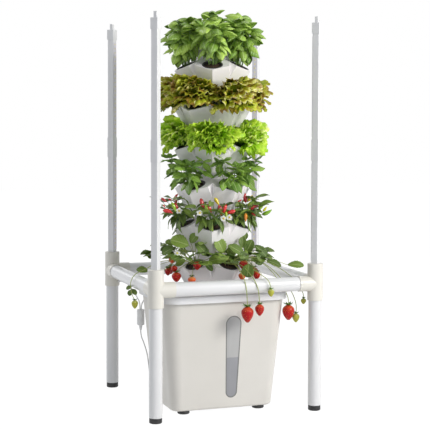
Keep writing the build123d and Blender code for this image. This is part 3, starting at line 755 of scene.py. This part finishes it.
# Outlines of a pot and of the fibre in it, as radius and height, and whether the fibre is loose there
POT_OUTLINE = (
    (0.0356, 0.0), (0.039, 0.0), (0.039, 0.0016), (0.0375, 0.002), (0.0345, 0.002), (0.0338, -0.004),
    (0.0255, -0.048), (0.012, -0.049), (0.012, -0.050), (0.0262, -0.050), (0.0356, 0.0))
FIBRE_OUTLINE = (
    (0.0, 0.004, False), (0.008, 0.0035, True), (0.016, 0.002, True), (0.024, 0.0, True),
    (0.0325, -0.0035, False), (0.0325, -0.008, False), (0.0255, -0.040, False), (0.0, -0.041, False))
FIBRE_DROP = 0.003
FIBRE_CRUMB = 0.0012


def make_pots():
    """Round pots with a thin rim, and the fibre in them."""
    pots, soil = Growth(), Growth()
    rng = Random(5)
    tilt = Matrix.Rotation(radians(MOUTH_TILT), 4, "Y")
    for tier in range(TIERS):
        for pocket in range(POCKETS):
            place = pot_place(tier, pocket) @ tilt
            rows = [[place @ Vector((r * c, r * s, z)) for c, s in circle(POT_SIDES)] for r, z in POT_OUTLINE]
            pots.sheet(rows, closed=True)
            rows = []
            for r, z, loose in FIBRE_OUTLINE:
                rows.append([])
                for c, s in circle(POT_SIDES):
                    bump = rng.uniform(-FIBRE_CRUMB, FIBRE_CRUMB) if loose else 0
                    rows[-1].append(place @ Vector((r * c, r * s, z + bump - FIBRE_DROP)))
            soil.sheet(rows, closed=True)
    black = plastic("net_pot_black", (0.03, 0.03, 0.032), 0.5, grain=600.0)
    pots.piece("net_pot_shells", black, "net_pot", "net_pots")
    crumbs = ((0.3, (0.012, 0.007, 0.004)), (0.6, (0.06, 0.032, 0.018)), (0.8, (0.13, 0.08, 0.05)))
    fibre = surface("moist_fibre", (0.05, 0.03, 0.02), 0.9, crumbs, (260.0, 6.0), (260.0, 6.0, 0.003, 0.9))
    soil.piece("pot_fibre", fibre, "growing_medium", "growing_medium")


# Leaves set one by one: their middles in millimetres, the axis in the picture, the length and the width
BASIL_LEAVES = (
    (54, -152, 1472, -96, 84, 62), (-82, -240, 1416, -86, 64, 42), (-117, -222, 1452, 160, 60, 44),
    (36, -152, 1504, 162, 60, 36), (98, -150, 1500, 12, 60, 36), (-196, -112, 1470, 175, 50, 32),
    (-152, -112, 1484, 28, 54, 34), (-60, -232, 1482, 35, 62, 42), (160, -120, 1408, -68, 66, 34))


def make_basil():
    leaves, stems = Growth(), Growth()
    for pot, rng in each_pot(0, 20):
        for start, heading in spread_stems(rng, 6, 0.09, 0.03, 0.30):
            height = (0.182 - 0.16 * hypot(heading.x, heading.y)) * rng.uniform(0.92, 1.08)
            leafy_stem(leaves, stems, pot, rng, start, heading, height, BASIL, sizes=(0.056, 0.074), pairs=4,
                       droop=-56, crown=0.76, thick=0.0022, bare=0.45)
    set_leaves(BASIL_LEAVES, leaves, stems, 0, BASIL, Random(26), 0.5, 0.01, 0.0018)
    green = leaf_finish("basil_leaf", (0.083, 0.21, 0.011), (0.51, 0.73, 0.12), (0.70, 0.82, 0.42), rough=0.3)
    finish_plants("basil", leaves, green, LEAF_THICK, [
        (stems, "basil_stems", stem_finish("basil_stem", (0.16, 0.34, 0.07), (0.34, 0.52, 0.16)))])


def make_lettuce(kind, tier, seed, form, finish, count, length, lowest):
    """Heads of frilled leaves, upright at the heart and lower further out."""
    leaves = Growth()
    for pot, rng in each_pot(tier, seed):
        for k in range(count):
            share = k / (count - 1)
            spin = GOLDEN_TURN * k
            size = length * (0.84 + 0.26 * share) * rng.uniform(0.88, 1.1)
            a = radians(spin)
            pitch = lowest + (HEART_PITCH - lowest) * share
            start = Vector((cos(a) * ROOT_R, sin(a) * ROOT_R, 0))
            grow(leaves, pot, start, spin, pitch, size, form, rng, outward=0.10)
    finish_plants(kind, leaves, finish, LETTUCE_THICK)


def make_mint():
    leaves, stems = Growth(), Growth()
    for pot, rng in each_pot(3, 60):
        for start, heading in spread_stems(rng, 7, 0.28, 0.3, 0.8):
            leafy_stem(leaves, stems, pot, rng, start, heading, rng.uniform(0.07, 0.118), MINT,
                       sizes=(0.064, 0.056), pairs=3, droop=-62, crown=0.8, thick=0.0016, bare=0.3)
    green = leaf_finish("mint_leaf", (0.060, 0.16, 0.012), (0.30, 0.50, 0.055), (0.60, 0.74, 0.34), veins=8.0)
    finish_plants("mint", leaves, green, LEAF_THICK, [
        (stems, "mint_stems", stem_finish("mint_stem", (0.10, 0.22, 0.06), (0.22, 0.36, 0.12)))])


# Chillies set one by one: ripeness, the middle in millimetres, the axis in the picture and the length
CHILLIES = (
    ("red", -220, -110, 801, -35, 27), ("red", -197, -110, 802, -20, 16), ("red", -223, -120, 778, -60, 13),
    ("green", -189, -130, 774, -65, 38), ("red", -176, -125, 777, -60, 32),
    ("red", -210, -125, 756, -15, 40), ("red", -103, -215, 792, -70, 40), ("green", -91, -225, 776, -75, 34),
    ("red", -79, -225, 774, -62, 36), ("yellow", -45, -210, 797, -60, 32), ("red", -37, -225, 766, -75, 38),
    ("red", -18, -225, 770, -105, 38), ("green", -14, -230, 750, -90, 22), ("red", 7, -220, 758, 195, 36),
    ("red", 85, -170, 808, 95, 38), ("red", 61, -170, 796, 30, 18), ("green", 114, -160, 786, 38, 40),
    ("red", 120, -170, 768, 22, 42), ("green", 158, -150, 773, 52, 34), ("yellow", 173, -150, 761, 52, 24),
    ("green", 178, -160, 750, 28, 42), ("red", 116, -180, 745, -40, 22), ("orange", 77, -195, 734, -90, 32))
CHILLI_FLOWERS = ((-169, -137, 760), (-29, -242, 736), (-118, -228, 758), (-4, -238, 739), (20, -150, 790))
CHILLI_FORWARD = VIEW_BACK * 0.028
# The deep and the bright colour of each kind of chilli
CHILLI_SKINS = {
    "red": ((0.40, 0.006, 0.008), (0.74, 0.02, 0.02)),
    "orange": ((0.7, 0.16, 0.01), (0.85, 0.3, 0.02)),
    "green": ((0.20, 0.42, 0.01), (0.44, 0.66, 0.03)),
    "yellow": ((0.75, 0.5, 0.01), (0.85, 0.72, 0.03))}
CHILLI_STEM = (0.0022, 0.0018, 0.0016, 0.0013, 0.001, 0.0008)


def make_chilli():
    leaves, stems, petals, centres = (Growth() for i in range(4))
    fruit = {kind: Growth() for kind in CHILLI_SKINS}
    for pocket, (pot, rng) in enumerate(each_pot(4, 80)):
        for start, heading in spread_stems(rng, 8, 0.3, 0.5, 1.2):
            path = arc_path(start, heading, rng.uniform(0.075, 0.12), 0.25, 5, UP)
            if any(inside_planter(pot @ p) for p in path[2:]):
                continue
            tube(stems, [pot @ p for p in path], CHILLI_STEM, 5, rng)
            spin = degrees(atan2(heading.y, heading.x))
            for j in range(2, 6):
                for side in range(2):
                    grow(leaves, pot, path[j], spin + 90 + 180 * side + 50 * j, -95 + 26 * j,
                         rng.uniform(0.048, 0.066), CHILLI, rng)
            if pocket in (2, 3) or rng.random() < 0.15:
                kind = rng.choice(("red", "red", "green", "yellow"))
                pod(fruit[kind], pot @ path[-1], turned(rng, spin, 60), 0.034, 0.0058, rng)
    rng = Random(90)
    for kind, *centre, angle, length in CHILLIES:
        way = in_view(angle, 0.12)
        base = Vector(centre) * MM - way * length * MM / 2 + CHILLI_FORWARD
        pod(fruit[kind], base, way, length * MM, min(0.0078, length * MM * 0.21), rng)
        stalk(stems, 4, base, 0.022, 0.0014, rng)
    set_flowers(CHILLI_FLOWERS, petals, centres, stems, 4, CHILLI_FORWARD, 0.35, 0.001, rng)
    skin = leaf_finish("chilli_leaf", (0.034, 0.083, 0.010), (0.225, 0.335, 0.045), (0.38, 0.50, 0.18),
                       7.0, 0.36)
    finish_plants("chilli", leaves, skin, LEAF_THICK, [
        (stems, "chilli_stems", stem_finish("chilli_stem", (0.07, 0.17, 0.05), (0.16, 0.3, 0.09))),
        *((fruit[kind], kind + "_chillies", fruit_finish(kind + "_chilli", *colours))
          for kind, colours in CHILLI_SKINS.items()),
        (petals, "chilli_petals", stem_finish("petal_white", (0.72, 0.74, 0.66), (0.85, 0.85, 0.8))),
        (centres, "chilli_flower_eyes", stem_finish("petal_eye", (0.6, 0.42, 0.02), (0.85, 0.66, 0.08)))])


def trefoil(leaves, stems, pot, rng, start, heading, reach, size):
    """A strawberry leaf: three leaflets at the end of a long stalk."""
    path = arc_path(start, heading, reach, 0.75, STEM_STEPS)
    way = path[-1] - path[-2]
    spin = degrees(atan2(way.y, way.x))
    grown = False
    for turn, share in ((0, 1.0), (62, 0.9), (-62, 0.9)):
        grown |= grow(leaves, pot, path[-1], spin + turn, 8, size * share, STRAWBERRY, rng)
    if grown:
        tube(stems, [pot @ p for p in path], [0.0013] * len(path), 5, rng)


# Strawberry leaflets set one by one, as above
STRAWBERRY_LEAVES = (
    (-178, -175, 645, 155, 74, 64), (-123, -168, 656, 60, 46, 38), (-219, -150, 613, 195, 54, 36),
    (-206, -140, 640, 150, 38, 26), (-96, -192, 619, -35, 68, 44), (-184, -195, 571, 200, 42, 34),
    (-52, -254, 586, 178, 76, 50), (-89, -252, 557, -42, 42, 26), (-33, -224, 630, 110, 60, 52),
    (13, -215, 607, 250, 46, 40), (27, -228, 618, -20, 68, 40), (54, -234, 590, -45, 54, 40),
    (87, -204, 620, 70, 60, 42), (78, -190, 661, 100, 32, 24), (141, -200, 605, -35, 64, 36),
    (124, -218, 576, -62, 56, 44), (198, -190, 555, -12, 62, 32), (47, -300, 541, -100, 52, 50),
    (60, -208, 639, 90, 40, 32), (318, -120, 536, 8, 66, 32), (-287, -40, 528, 160, 46, 34),
    (-347, -62, 464, 200, 24, 18), (-330, -74, 449, -30, 30, 22), (-349, -84, 447, -120, 26, 20))
# Berries in front of the tower: ripeness, the middle in millimetres, the length and the radius
BERRIES = (
    ("ripe", -128, -228, 558, 31, 15.5), ("ripe", -201, -202, 515, 36, 18),
    ("ripe", -205, -188, 544, 25, 12), ("ripe", 51, -246, 556, 34, 18), ("turning", 48, -238, 512, 28, 14),
    ("ripe", 121, -202, 508, 30, 14), ("turning", -152, -238, 505, 28, 15),
    ("turning", -209, -172, 576, 24, 12.5))
STRAWBERRY_FLOWERS = ((-191, -178, 602), (105, -224, 596))
# Hanging trusses: the berry's ripeness, length and radius, and the points of its stalk
TRUSSES = (
    ("ripe", 58, 23, ((4, -205, 556), (10, -262, 560), (18, -325, 527), (25, -344, 480), (28, -349, 414))),
    ("ripe", 42, 17, ((4, -205, 556), (30, -264, 560), (52, -325, 526), (70, -346, 480), (75, -352, 421))),
    ("unripe", 28, 12, (
        (8, -205, 556), (50, -264, 558), (90, -325, 528), (113, -346, 505), (120, -352, 476))),
    ("ripe", 57, 23.5, (
        (82, -102, 556), (150, -190, 552), (205, -240, 480), (222, -270, 430), (224, -272, 400))),
    ("unripe", 34, 14, (
        (82, -102, 556), (160, -186, 550), (232, -240, 470), (256, -266, 410), (256, -270, 366))),
    ("unripe", 22, 10.5, (
        (82, -102, 556), (170, -180, 556), (250, -230, 505), (284, -262, 450), (288, -268, 422))),
    ("unripe", 32, 12.5, (
        (-108, -60, 556), (-220, -80, 562), (-298, -94, 532), (-332, -98, 518), (-350, -100, 488),
        (-346, -100, 446), (-334, -100, 420))))
TRUSS_STEPS = 4
# The skin, the pale shoulder and the seeds of a berry of each ripeness
BERRY_SKINS = {
    "ripe": ((0.44, 0.004, 0.006), (0.62, 0.07, 0.025), (0.85, 0.5, 0.08)),
    "turning": ((0.78, 0.12, 0.035), (0.78, 0.34, 0.12), (0.85, 0.5, 0.08)),
    "unripe": ((0.46, 0.46, 0.06), (0.54, 0.58, 0.18), (0.28, 0.20, 0.02))}


def smooth_path(points):
    """A rounded line through a few given points."""
    path = []
    for i in range(len(points) - 1):
        before = points[max(i - 1, 0)]
        after = points[min(i + 2, len(points) - 1)]
        a, b = points[i], points[i + 1]
        for k in range(TRUSS_STEPS):
            t = k / TRUSS_STEPS
            path.append(0.5 * ((2 * a) + (b - before) * t + (2 * before - 5 * a + 4 * b - after) * t * t
                               + (3 * a - before - 3 * b + after) * t ** 3))
    path.append(points[-1])
    return path


def make_strawberries():
    leaves, stems, calyx, petals, centres = (Growth() for i in range(5))
    fruit = {ripeness: Growth() for ripeness in BERRY_SKINS}
    for pocket, (pot, rng) in enumerate(each_pot(5, 101)):
        for start, heading in spread_stems(rng, 9, 0.3, 0.5, 1.3):
            reach = rng.uniform(0.07, 0.125)
            trefoil(leaves, stems, pot, rng, start, heading, reach, rng.uniform(0.046, 0.060))
        for k in range(5 if pocket in (1, 2, 3) else 0):
            a = radians(rng.uniform(-60, 60))
            heading = Vector((cos(a), sin(a), 0.5))
            path = arc_path(Vector((0.01, 0, 0)), heading, rng.uniform(0.06, 0.09), 1.6, STEM_STEPS)
            tube(stems, [pot @ p for p in path], [0.0011] * len(path), 5, rng)
            size = rng.uniform(0.020, 0.032)
            ripeness = rng.choice(("ripe", "ripe", "unripe"))
            berry(fruit[ripeness], calyx, pot @ path[-1], size, size * 0.46, rng)
    rng = Random(140)
    set_leaves(STRAWBERRY_LEAVES, leaves, stems, 5, STRAWBERRY, rng, 0.9, 0.03, 0.0015)
    for ripeness, *centre, length, r in BERRIES:
        top = Vector(centre) * MM + UP * length * MM / 2
        berry(fruit[ripeness], calyx, top, length * MM, r * MM, rng)
        stalk(stems, 5, top, 0.03, 0.0014, rng)
    set_flowers(STRAWBERRY_FLOWERS, petals, centres, stems, 5, Vector(), 0.5, 0.0011, rng)
    for ripeness, length, r, points in TRUSSES:
        path = smooth_path([Vector(p) * MM for p in points])
        tube(stems, path, [0.0015] * len(path), 6, rng)
        berry(fruit[ripeness], calyx, path[-1], length * MM, r * MM, rng)
    skin = leaf_finish("strawberry_leaf", (0.034, 0.088, 0.011), (0.22, 0.325, 0.048), (0.43, 0.52, 0.20),
                       7.0, 0.45)
    green = leaf_finish("berry_calyx", (0.04, 0.13, 0.015), (0.15, 0.33, 0.04), (0.3, 0.5, 0.16))
    stalk_green = stem_finish("strawberry_stalk", (0.26, 0.34, 0.06), (0.46, 0.50, 0.16))
    eye_yellow = stem_finish("berry_flower_eye", (0.6, 0.5, 0.05), (0.8, 0.72, 0.15))
    finish_plants("strawberry", leaves, skin, LEAF_THICK, [
        (stems, "strawberry_stalks", stalk_green),
        *((fruit[ripeness], ripeness + "_strawberries", berry_finish(ripeness + "_berry", *colours))
          for ripeness, colours in BERRY_SKINS.items()),
        (calyx, "strawberry_calyxes", green),
        (petals, "strawberry_petals", stem_finish("berry_petal", (0.74, 0.75, 0.70), (0.86, 0.86, 0.82))),
        (centres, "strawberry_flower_eyes", eye_yellow)])


def nurbs_cord(name, points, diameter, material):
    """A cord as one smooth NURBS line through the neighbourhood of its route points."""
    curve = bpy.data.curves.new(name, "CURVE")
    curve.dimensions = "3D"
    curve.bevel_depth = diameter / 2
    curve.bevel_resolution = 4
    curve.use_fill_caps = True
    curve.resolution_u = 8
    spline = curve.splines.new("NURBS")
    spline.points.add(len(points) - 1)
    for point, place in zip(spline.points, points):
        point.co = (*(Vector(place) * MM), 1)
    spline.order_u = 3
    spline.use_endpoint_u = True
    curve.materials.append(material)
    piece = add_object(name, curve)
    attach(piece, "root")
    return piece


FRAME_LEAD = (
    (-292.02, 292.02, 440), (-281, 281, 440), (-270, 262, 436), (-264, 233, 427), (-261, 197, 416.5),
    (-261.5, 158, 405), (-261.5, 121, 393.5), (-261.5, 98.6, 385.2), (-261.5, 89.8, 377),
    (-261.5, 84.9, 366), (-261.5, 84.9, 354))
PUMP_LEAD = (
    (-25, -77, 45), (-25, -60, 45), (-33, -36, 39), (-56, -14, 31), (-92, -2, 25), (-130, 2, 24),
    (-164, 4, 32), (-184, 8, 58), (-192, 14, 98), (-195.5, 21, 148), (-197, 28, 203), (-197, 35, 258),
    (-196, 40.5, 308), (-195, 44, 348), (-195, 46, 380), (-195, 50.5, 402), (-195, 61.7, 413.6),
    (-195, 93.5, 410.4), (-203, 106, 407), (-219, 110, 401), (-237, 103, 391.5), (-250.5, 91.5, 379.5),
    (-256.5, 83.1, 366), (-256.5, 83.1, 354))
SUPPLY_CORD = (
    (-259, 84, 272), (-259, 84, 250), (-246, 80, 218), (-233, 76, 172), (-227, 75, 116), (-220, 78, 66),
    (-211, 84, 30), (-196, 92, 7), (-172, 103, 2.5), (-150, 108, 2.5), (-135, 108, 2.5))
COIL_PITCH = 6.4
COIL_INNER = 19.0
COIL_HALVES_IN = 7
COIL_HALVES_OUT = 6
COIL_LEAVE = 10.5
COIL_STEPS = 8
LEAD_D = 0.0045
SUPPLY_D = 0.005


def eased(share):
    return share * share * (3 - 2 * share)


def coil_points(start):
    """The coil's turns: in along the floor, up a layer where the spiral reverses, and out to the plug."""
    outer = COIL_INNER + COIL_HALVES_IN * COIL_PITCH / 2
    lead = Vector((SUPPLY_D / MM, 0, 0))
    middle = Vector(start) + lead + Vector((0, outer, 0))
    total = COIL_HALVES_IN + 1 + COIL_HALVES_OUT
    points = [Vector(start)]
    for i in range(total * COIL_STEPS + 1):
        halves = i / COIL_STEPS
        a = -pi / 2 + pi * halves
        rise = COIL_PITCH * eased(min(max(halves - COIL_HALVES_IN, 0), 1))
        r = outer - halves * COIL_PITCH / 2
        if halves > COIL_HALVES_IN:
            r = COIL_INNER + max(halves - COIL_HALVES_IN - 1, 0) * COIL_PITCH / 2
        if halves > total - 1:
            r += COIL_LEAVE * eased(halves - total + 1)
        points.append(middle + Vector((r * cos(a), r * sin(a), rise)))
    return points + [points[-1] + lead]


def make_cords():
    sheath = plastic("cord_sheath", (0.80, 0.80, 0.79), 0.45, grain=500.0)
    for kind, route, length in (("frame_lead", FRAME_LEAD, 0.245), ("pump_lead", PUMP_LEAD, 0.714)):
        lead = nurbs_cord(kind + "_cord", route, LEAD_D, sheath)
        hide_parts(kind)
        Vector(route[0]) * MM
    points = [*SUPPLY_CORD[:-1], *coil_points(SUPPLY_CORD[-1])]
    supply = nurbs_cord("supply_cord_line", points, SUPPLY_D, sheath)
    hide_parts("supply_cord", "supply_coil")
    Vector(SUPPLY_CORD[0]) * MM


# LED boards: their section, how far they lie from the pole's axis, and how far they stop short of the joiner
BOARD_SECTION = ((-0.0118, 0.0), (0.0118, 0.0), (0.0118, 0.0005), (0.0113, 0.0009), (-0.0113, 0.0009),
                 (-0.0118, 0.0005))
BOARD_REACH = 0.0131
BOARD_GAP = 0.0102
BOARD_END = 0.0004
LAMP_PITCH = 0.017
LAMP_OUTLINE = ((0.0028, 0.0), (0.0028, 0.0005), (0.0016, 0.0009), (0.0, 0.001))


def make_led_boards():
    """Pale LED boards with rows of small yellow lamps, in the grooves of the light bars."""
    board_paint = plastic("led_board", (0.80, 0.77, 0.84), 0.4, grain=500.0)
    lens = surface("led_lens", (0.95, 0.85, 0.35), 0.25, ((0.3, (0.90, 0.78, 0.28)), (0.7, (1.0, 0.93, 0.5))),
                   (300.0, 3.0), coat=0.4)
    for corner in CORNERS:
        low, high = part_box("led_strips_" + corner)
        bars_low, bars_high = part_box("light_bars_" + corner)
        pole = (bars_low + bars_high) / 2
        facing = Vector((-pole.x, -pole.y, 0)).normalized()
        side = UP.cross(facing)
        joiner_low, joiner_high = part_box("pole_joiner_" + corner)
        boards, lamps = Growth(), Growth()
        centre = Vector((pole.x, pole.y, 0)) + facing * BOARD_REACH
        for bottom, top in ((low.z, joiner_low.z - BOARD_GAP), (joiner_high.z + BOARD_GAP, high.z)):
            levels = (bottom, bottom + BOARD_END, top - BOARD_END, top)
            boards.sheet([[centre + side * x + facing * y + UP * z for x, y in BOARD_SECTION]
                          for z in levels], closed=True, ends=True)
            count = int((top - bottom) / LAMP_PITCH)
            for i in range(count):
                at = centre + facing * 0.0009 + UP * (bottom + (i + 0.5) * (top - bottom) / count)
                lamps.sheet([[at + (side * c + UP * s) * r + facing * depth for c, s in circle(8)]
                             for r, depth in LAMP_OUTLINE], closed=True)
        body = "pole_" + corner
        boards.piece("led_boards_" + corner, board_paint, "led_strip", "led_strips_" + corner, body,
                     smooth=False)
        lamps.piece("led_lamps_" + corner, lens, "led_strip", body=body)


def at_corners(kind):
    return [kind + corner for corner in CORNERS]


def finish_cad():
    """Materials for the CAD nodes that stay."""
    white = (0.78, 0.78, 0.785)
    tank_stops = ((0.3, (0.655, 0.632, 0.585)), (0.7, (0.725, 0.702, 0.66)))
    rubber_stops = ((0.45, (0.014, 0.014, 0.015)), (0.8, (0.05, 0.05, 0.05)))
    chosen = (
        (surface("tank_shell", (0.72, 0.69, 0.63), 0.42, tank_stops, (3.0, 5.0), (1100.0, 2.0, 0.00012, 0.4),
                 (24.0, 4.0, 0.36, 0.5)), ["tank_body"]),
        (window_finish(), ["tank_window"]),
        (plastic("lid_white", (0.80, 0.80, 0.81), 0.35, coat=0.15), ["tank_lid"]),
        (surface("black_rubber", (0.018, 0.018, 0.019), 0.55, rubber_stops, (60.0, 5.0),
                 (700.0, 2.0, 0.0002, 0.4)), ["tank_feet", "leg_feet"]),
        (plastic("planter_white", (0.92, 0.89, 0.90), 0.5, grain=700.0, depth=0.00015),
         ["tower_top_cap"] + ["planter_tier_" + str(tier + 1) for tier in range(TIERS)]),
        (plastic("pump_black", (0.03, 0.03, 0.034), 0.4),
         ["pump_body", "pump_impeller", "pump_strainer", "pump_suction_cups"]),
        (plastic("riser_white", (0.74, 0.74, 0.74), 0.35), ["riser_pipe"]),
        (plastic("splitter_white", (0.80, 0.80, 0.80), 0.35, coat=0.2),
         ["lead_splitter", "lead_glands", "supply_plug"]),
        (pipe_finish("pipe_along_x", white, (0.02, 1.0, 1.0)), ["rail_front", "rail_back"]),
        (pipe_finish("pipe_along_y", white, (1.0, 0.02, 1.0)), ["rail_left", "rail_right"]),
        # Painted shade: the legs take the rails' white pipe a shade darker, to tone down how brightly they
        # are lit
        (pipe_finish("pipe_upright_painted_shade", (0.765, 0.765, 0.77)), at_corners("leg_")),
        (plastic("connector_ivory", (0.76, 0.735, 0.67), 0.4, coat=0.1), at_corners("connector_")),
        (pipe_finish("light_bar_white", (0.80, 0.80, 0.81)), at_corners("light_bars_")),
        (plastic("pole_sleeve", (0.80, 0.80, 0.81), 0.42),
         at_corners("pole_joiner_") + at_corners("pole_cap_")))
    for material, names in chosen:
        for name in names:
            mesh = nodes[name].data
            mesh.materials.clear()
            mesh.materials.append(material)


make_camera()
make_cords()
make_lights()
make_world()
make_floor()
finish_cad()
make_led_boards()
make_pots()
make_basil()
# Each lettuce's first colour is its greener heart darkened as painted shade, and its fourth is a painted
# highlight on the frill edges
red_leaf = lettuce_finish("red_lettuce_leaf", (0.045, 0.13, 0.005), (0.24, 0.36, 0.011), (0.57, 0.58, 0.035),
                          (0.94, 0.90, 0.48), (0.26, 0.085, 0.014))
make_lettuce("red_lettuce", 1, 30, RED_LETTUCE, red_leaf, count=22, length=0.126, lowest=20)
green_leaf = lettuce_finish("green_lettuce_leaf", (0.035, 0.17, 0.004), (0.32, 0.58, 0.016),
                            (0.60, 0.82, 0.058), (0.94, 0.96, 0.48), (0.31, 0.60, 0.014))
make_lettuce("green_lettuce", 2, 45, GREEN_LETTUCE, green_leaf, count=25, length=0.104, lowest=10)
make_mint()
make_chilli()
make_strawberries()

scene = bpy.context.scene
scene.view_settings.view_transform = "Standard"
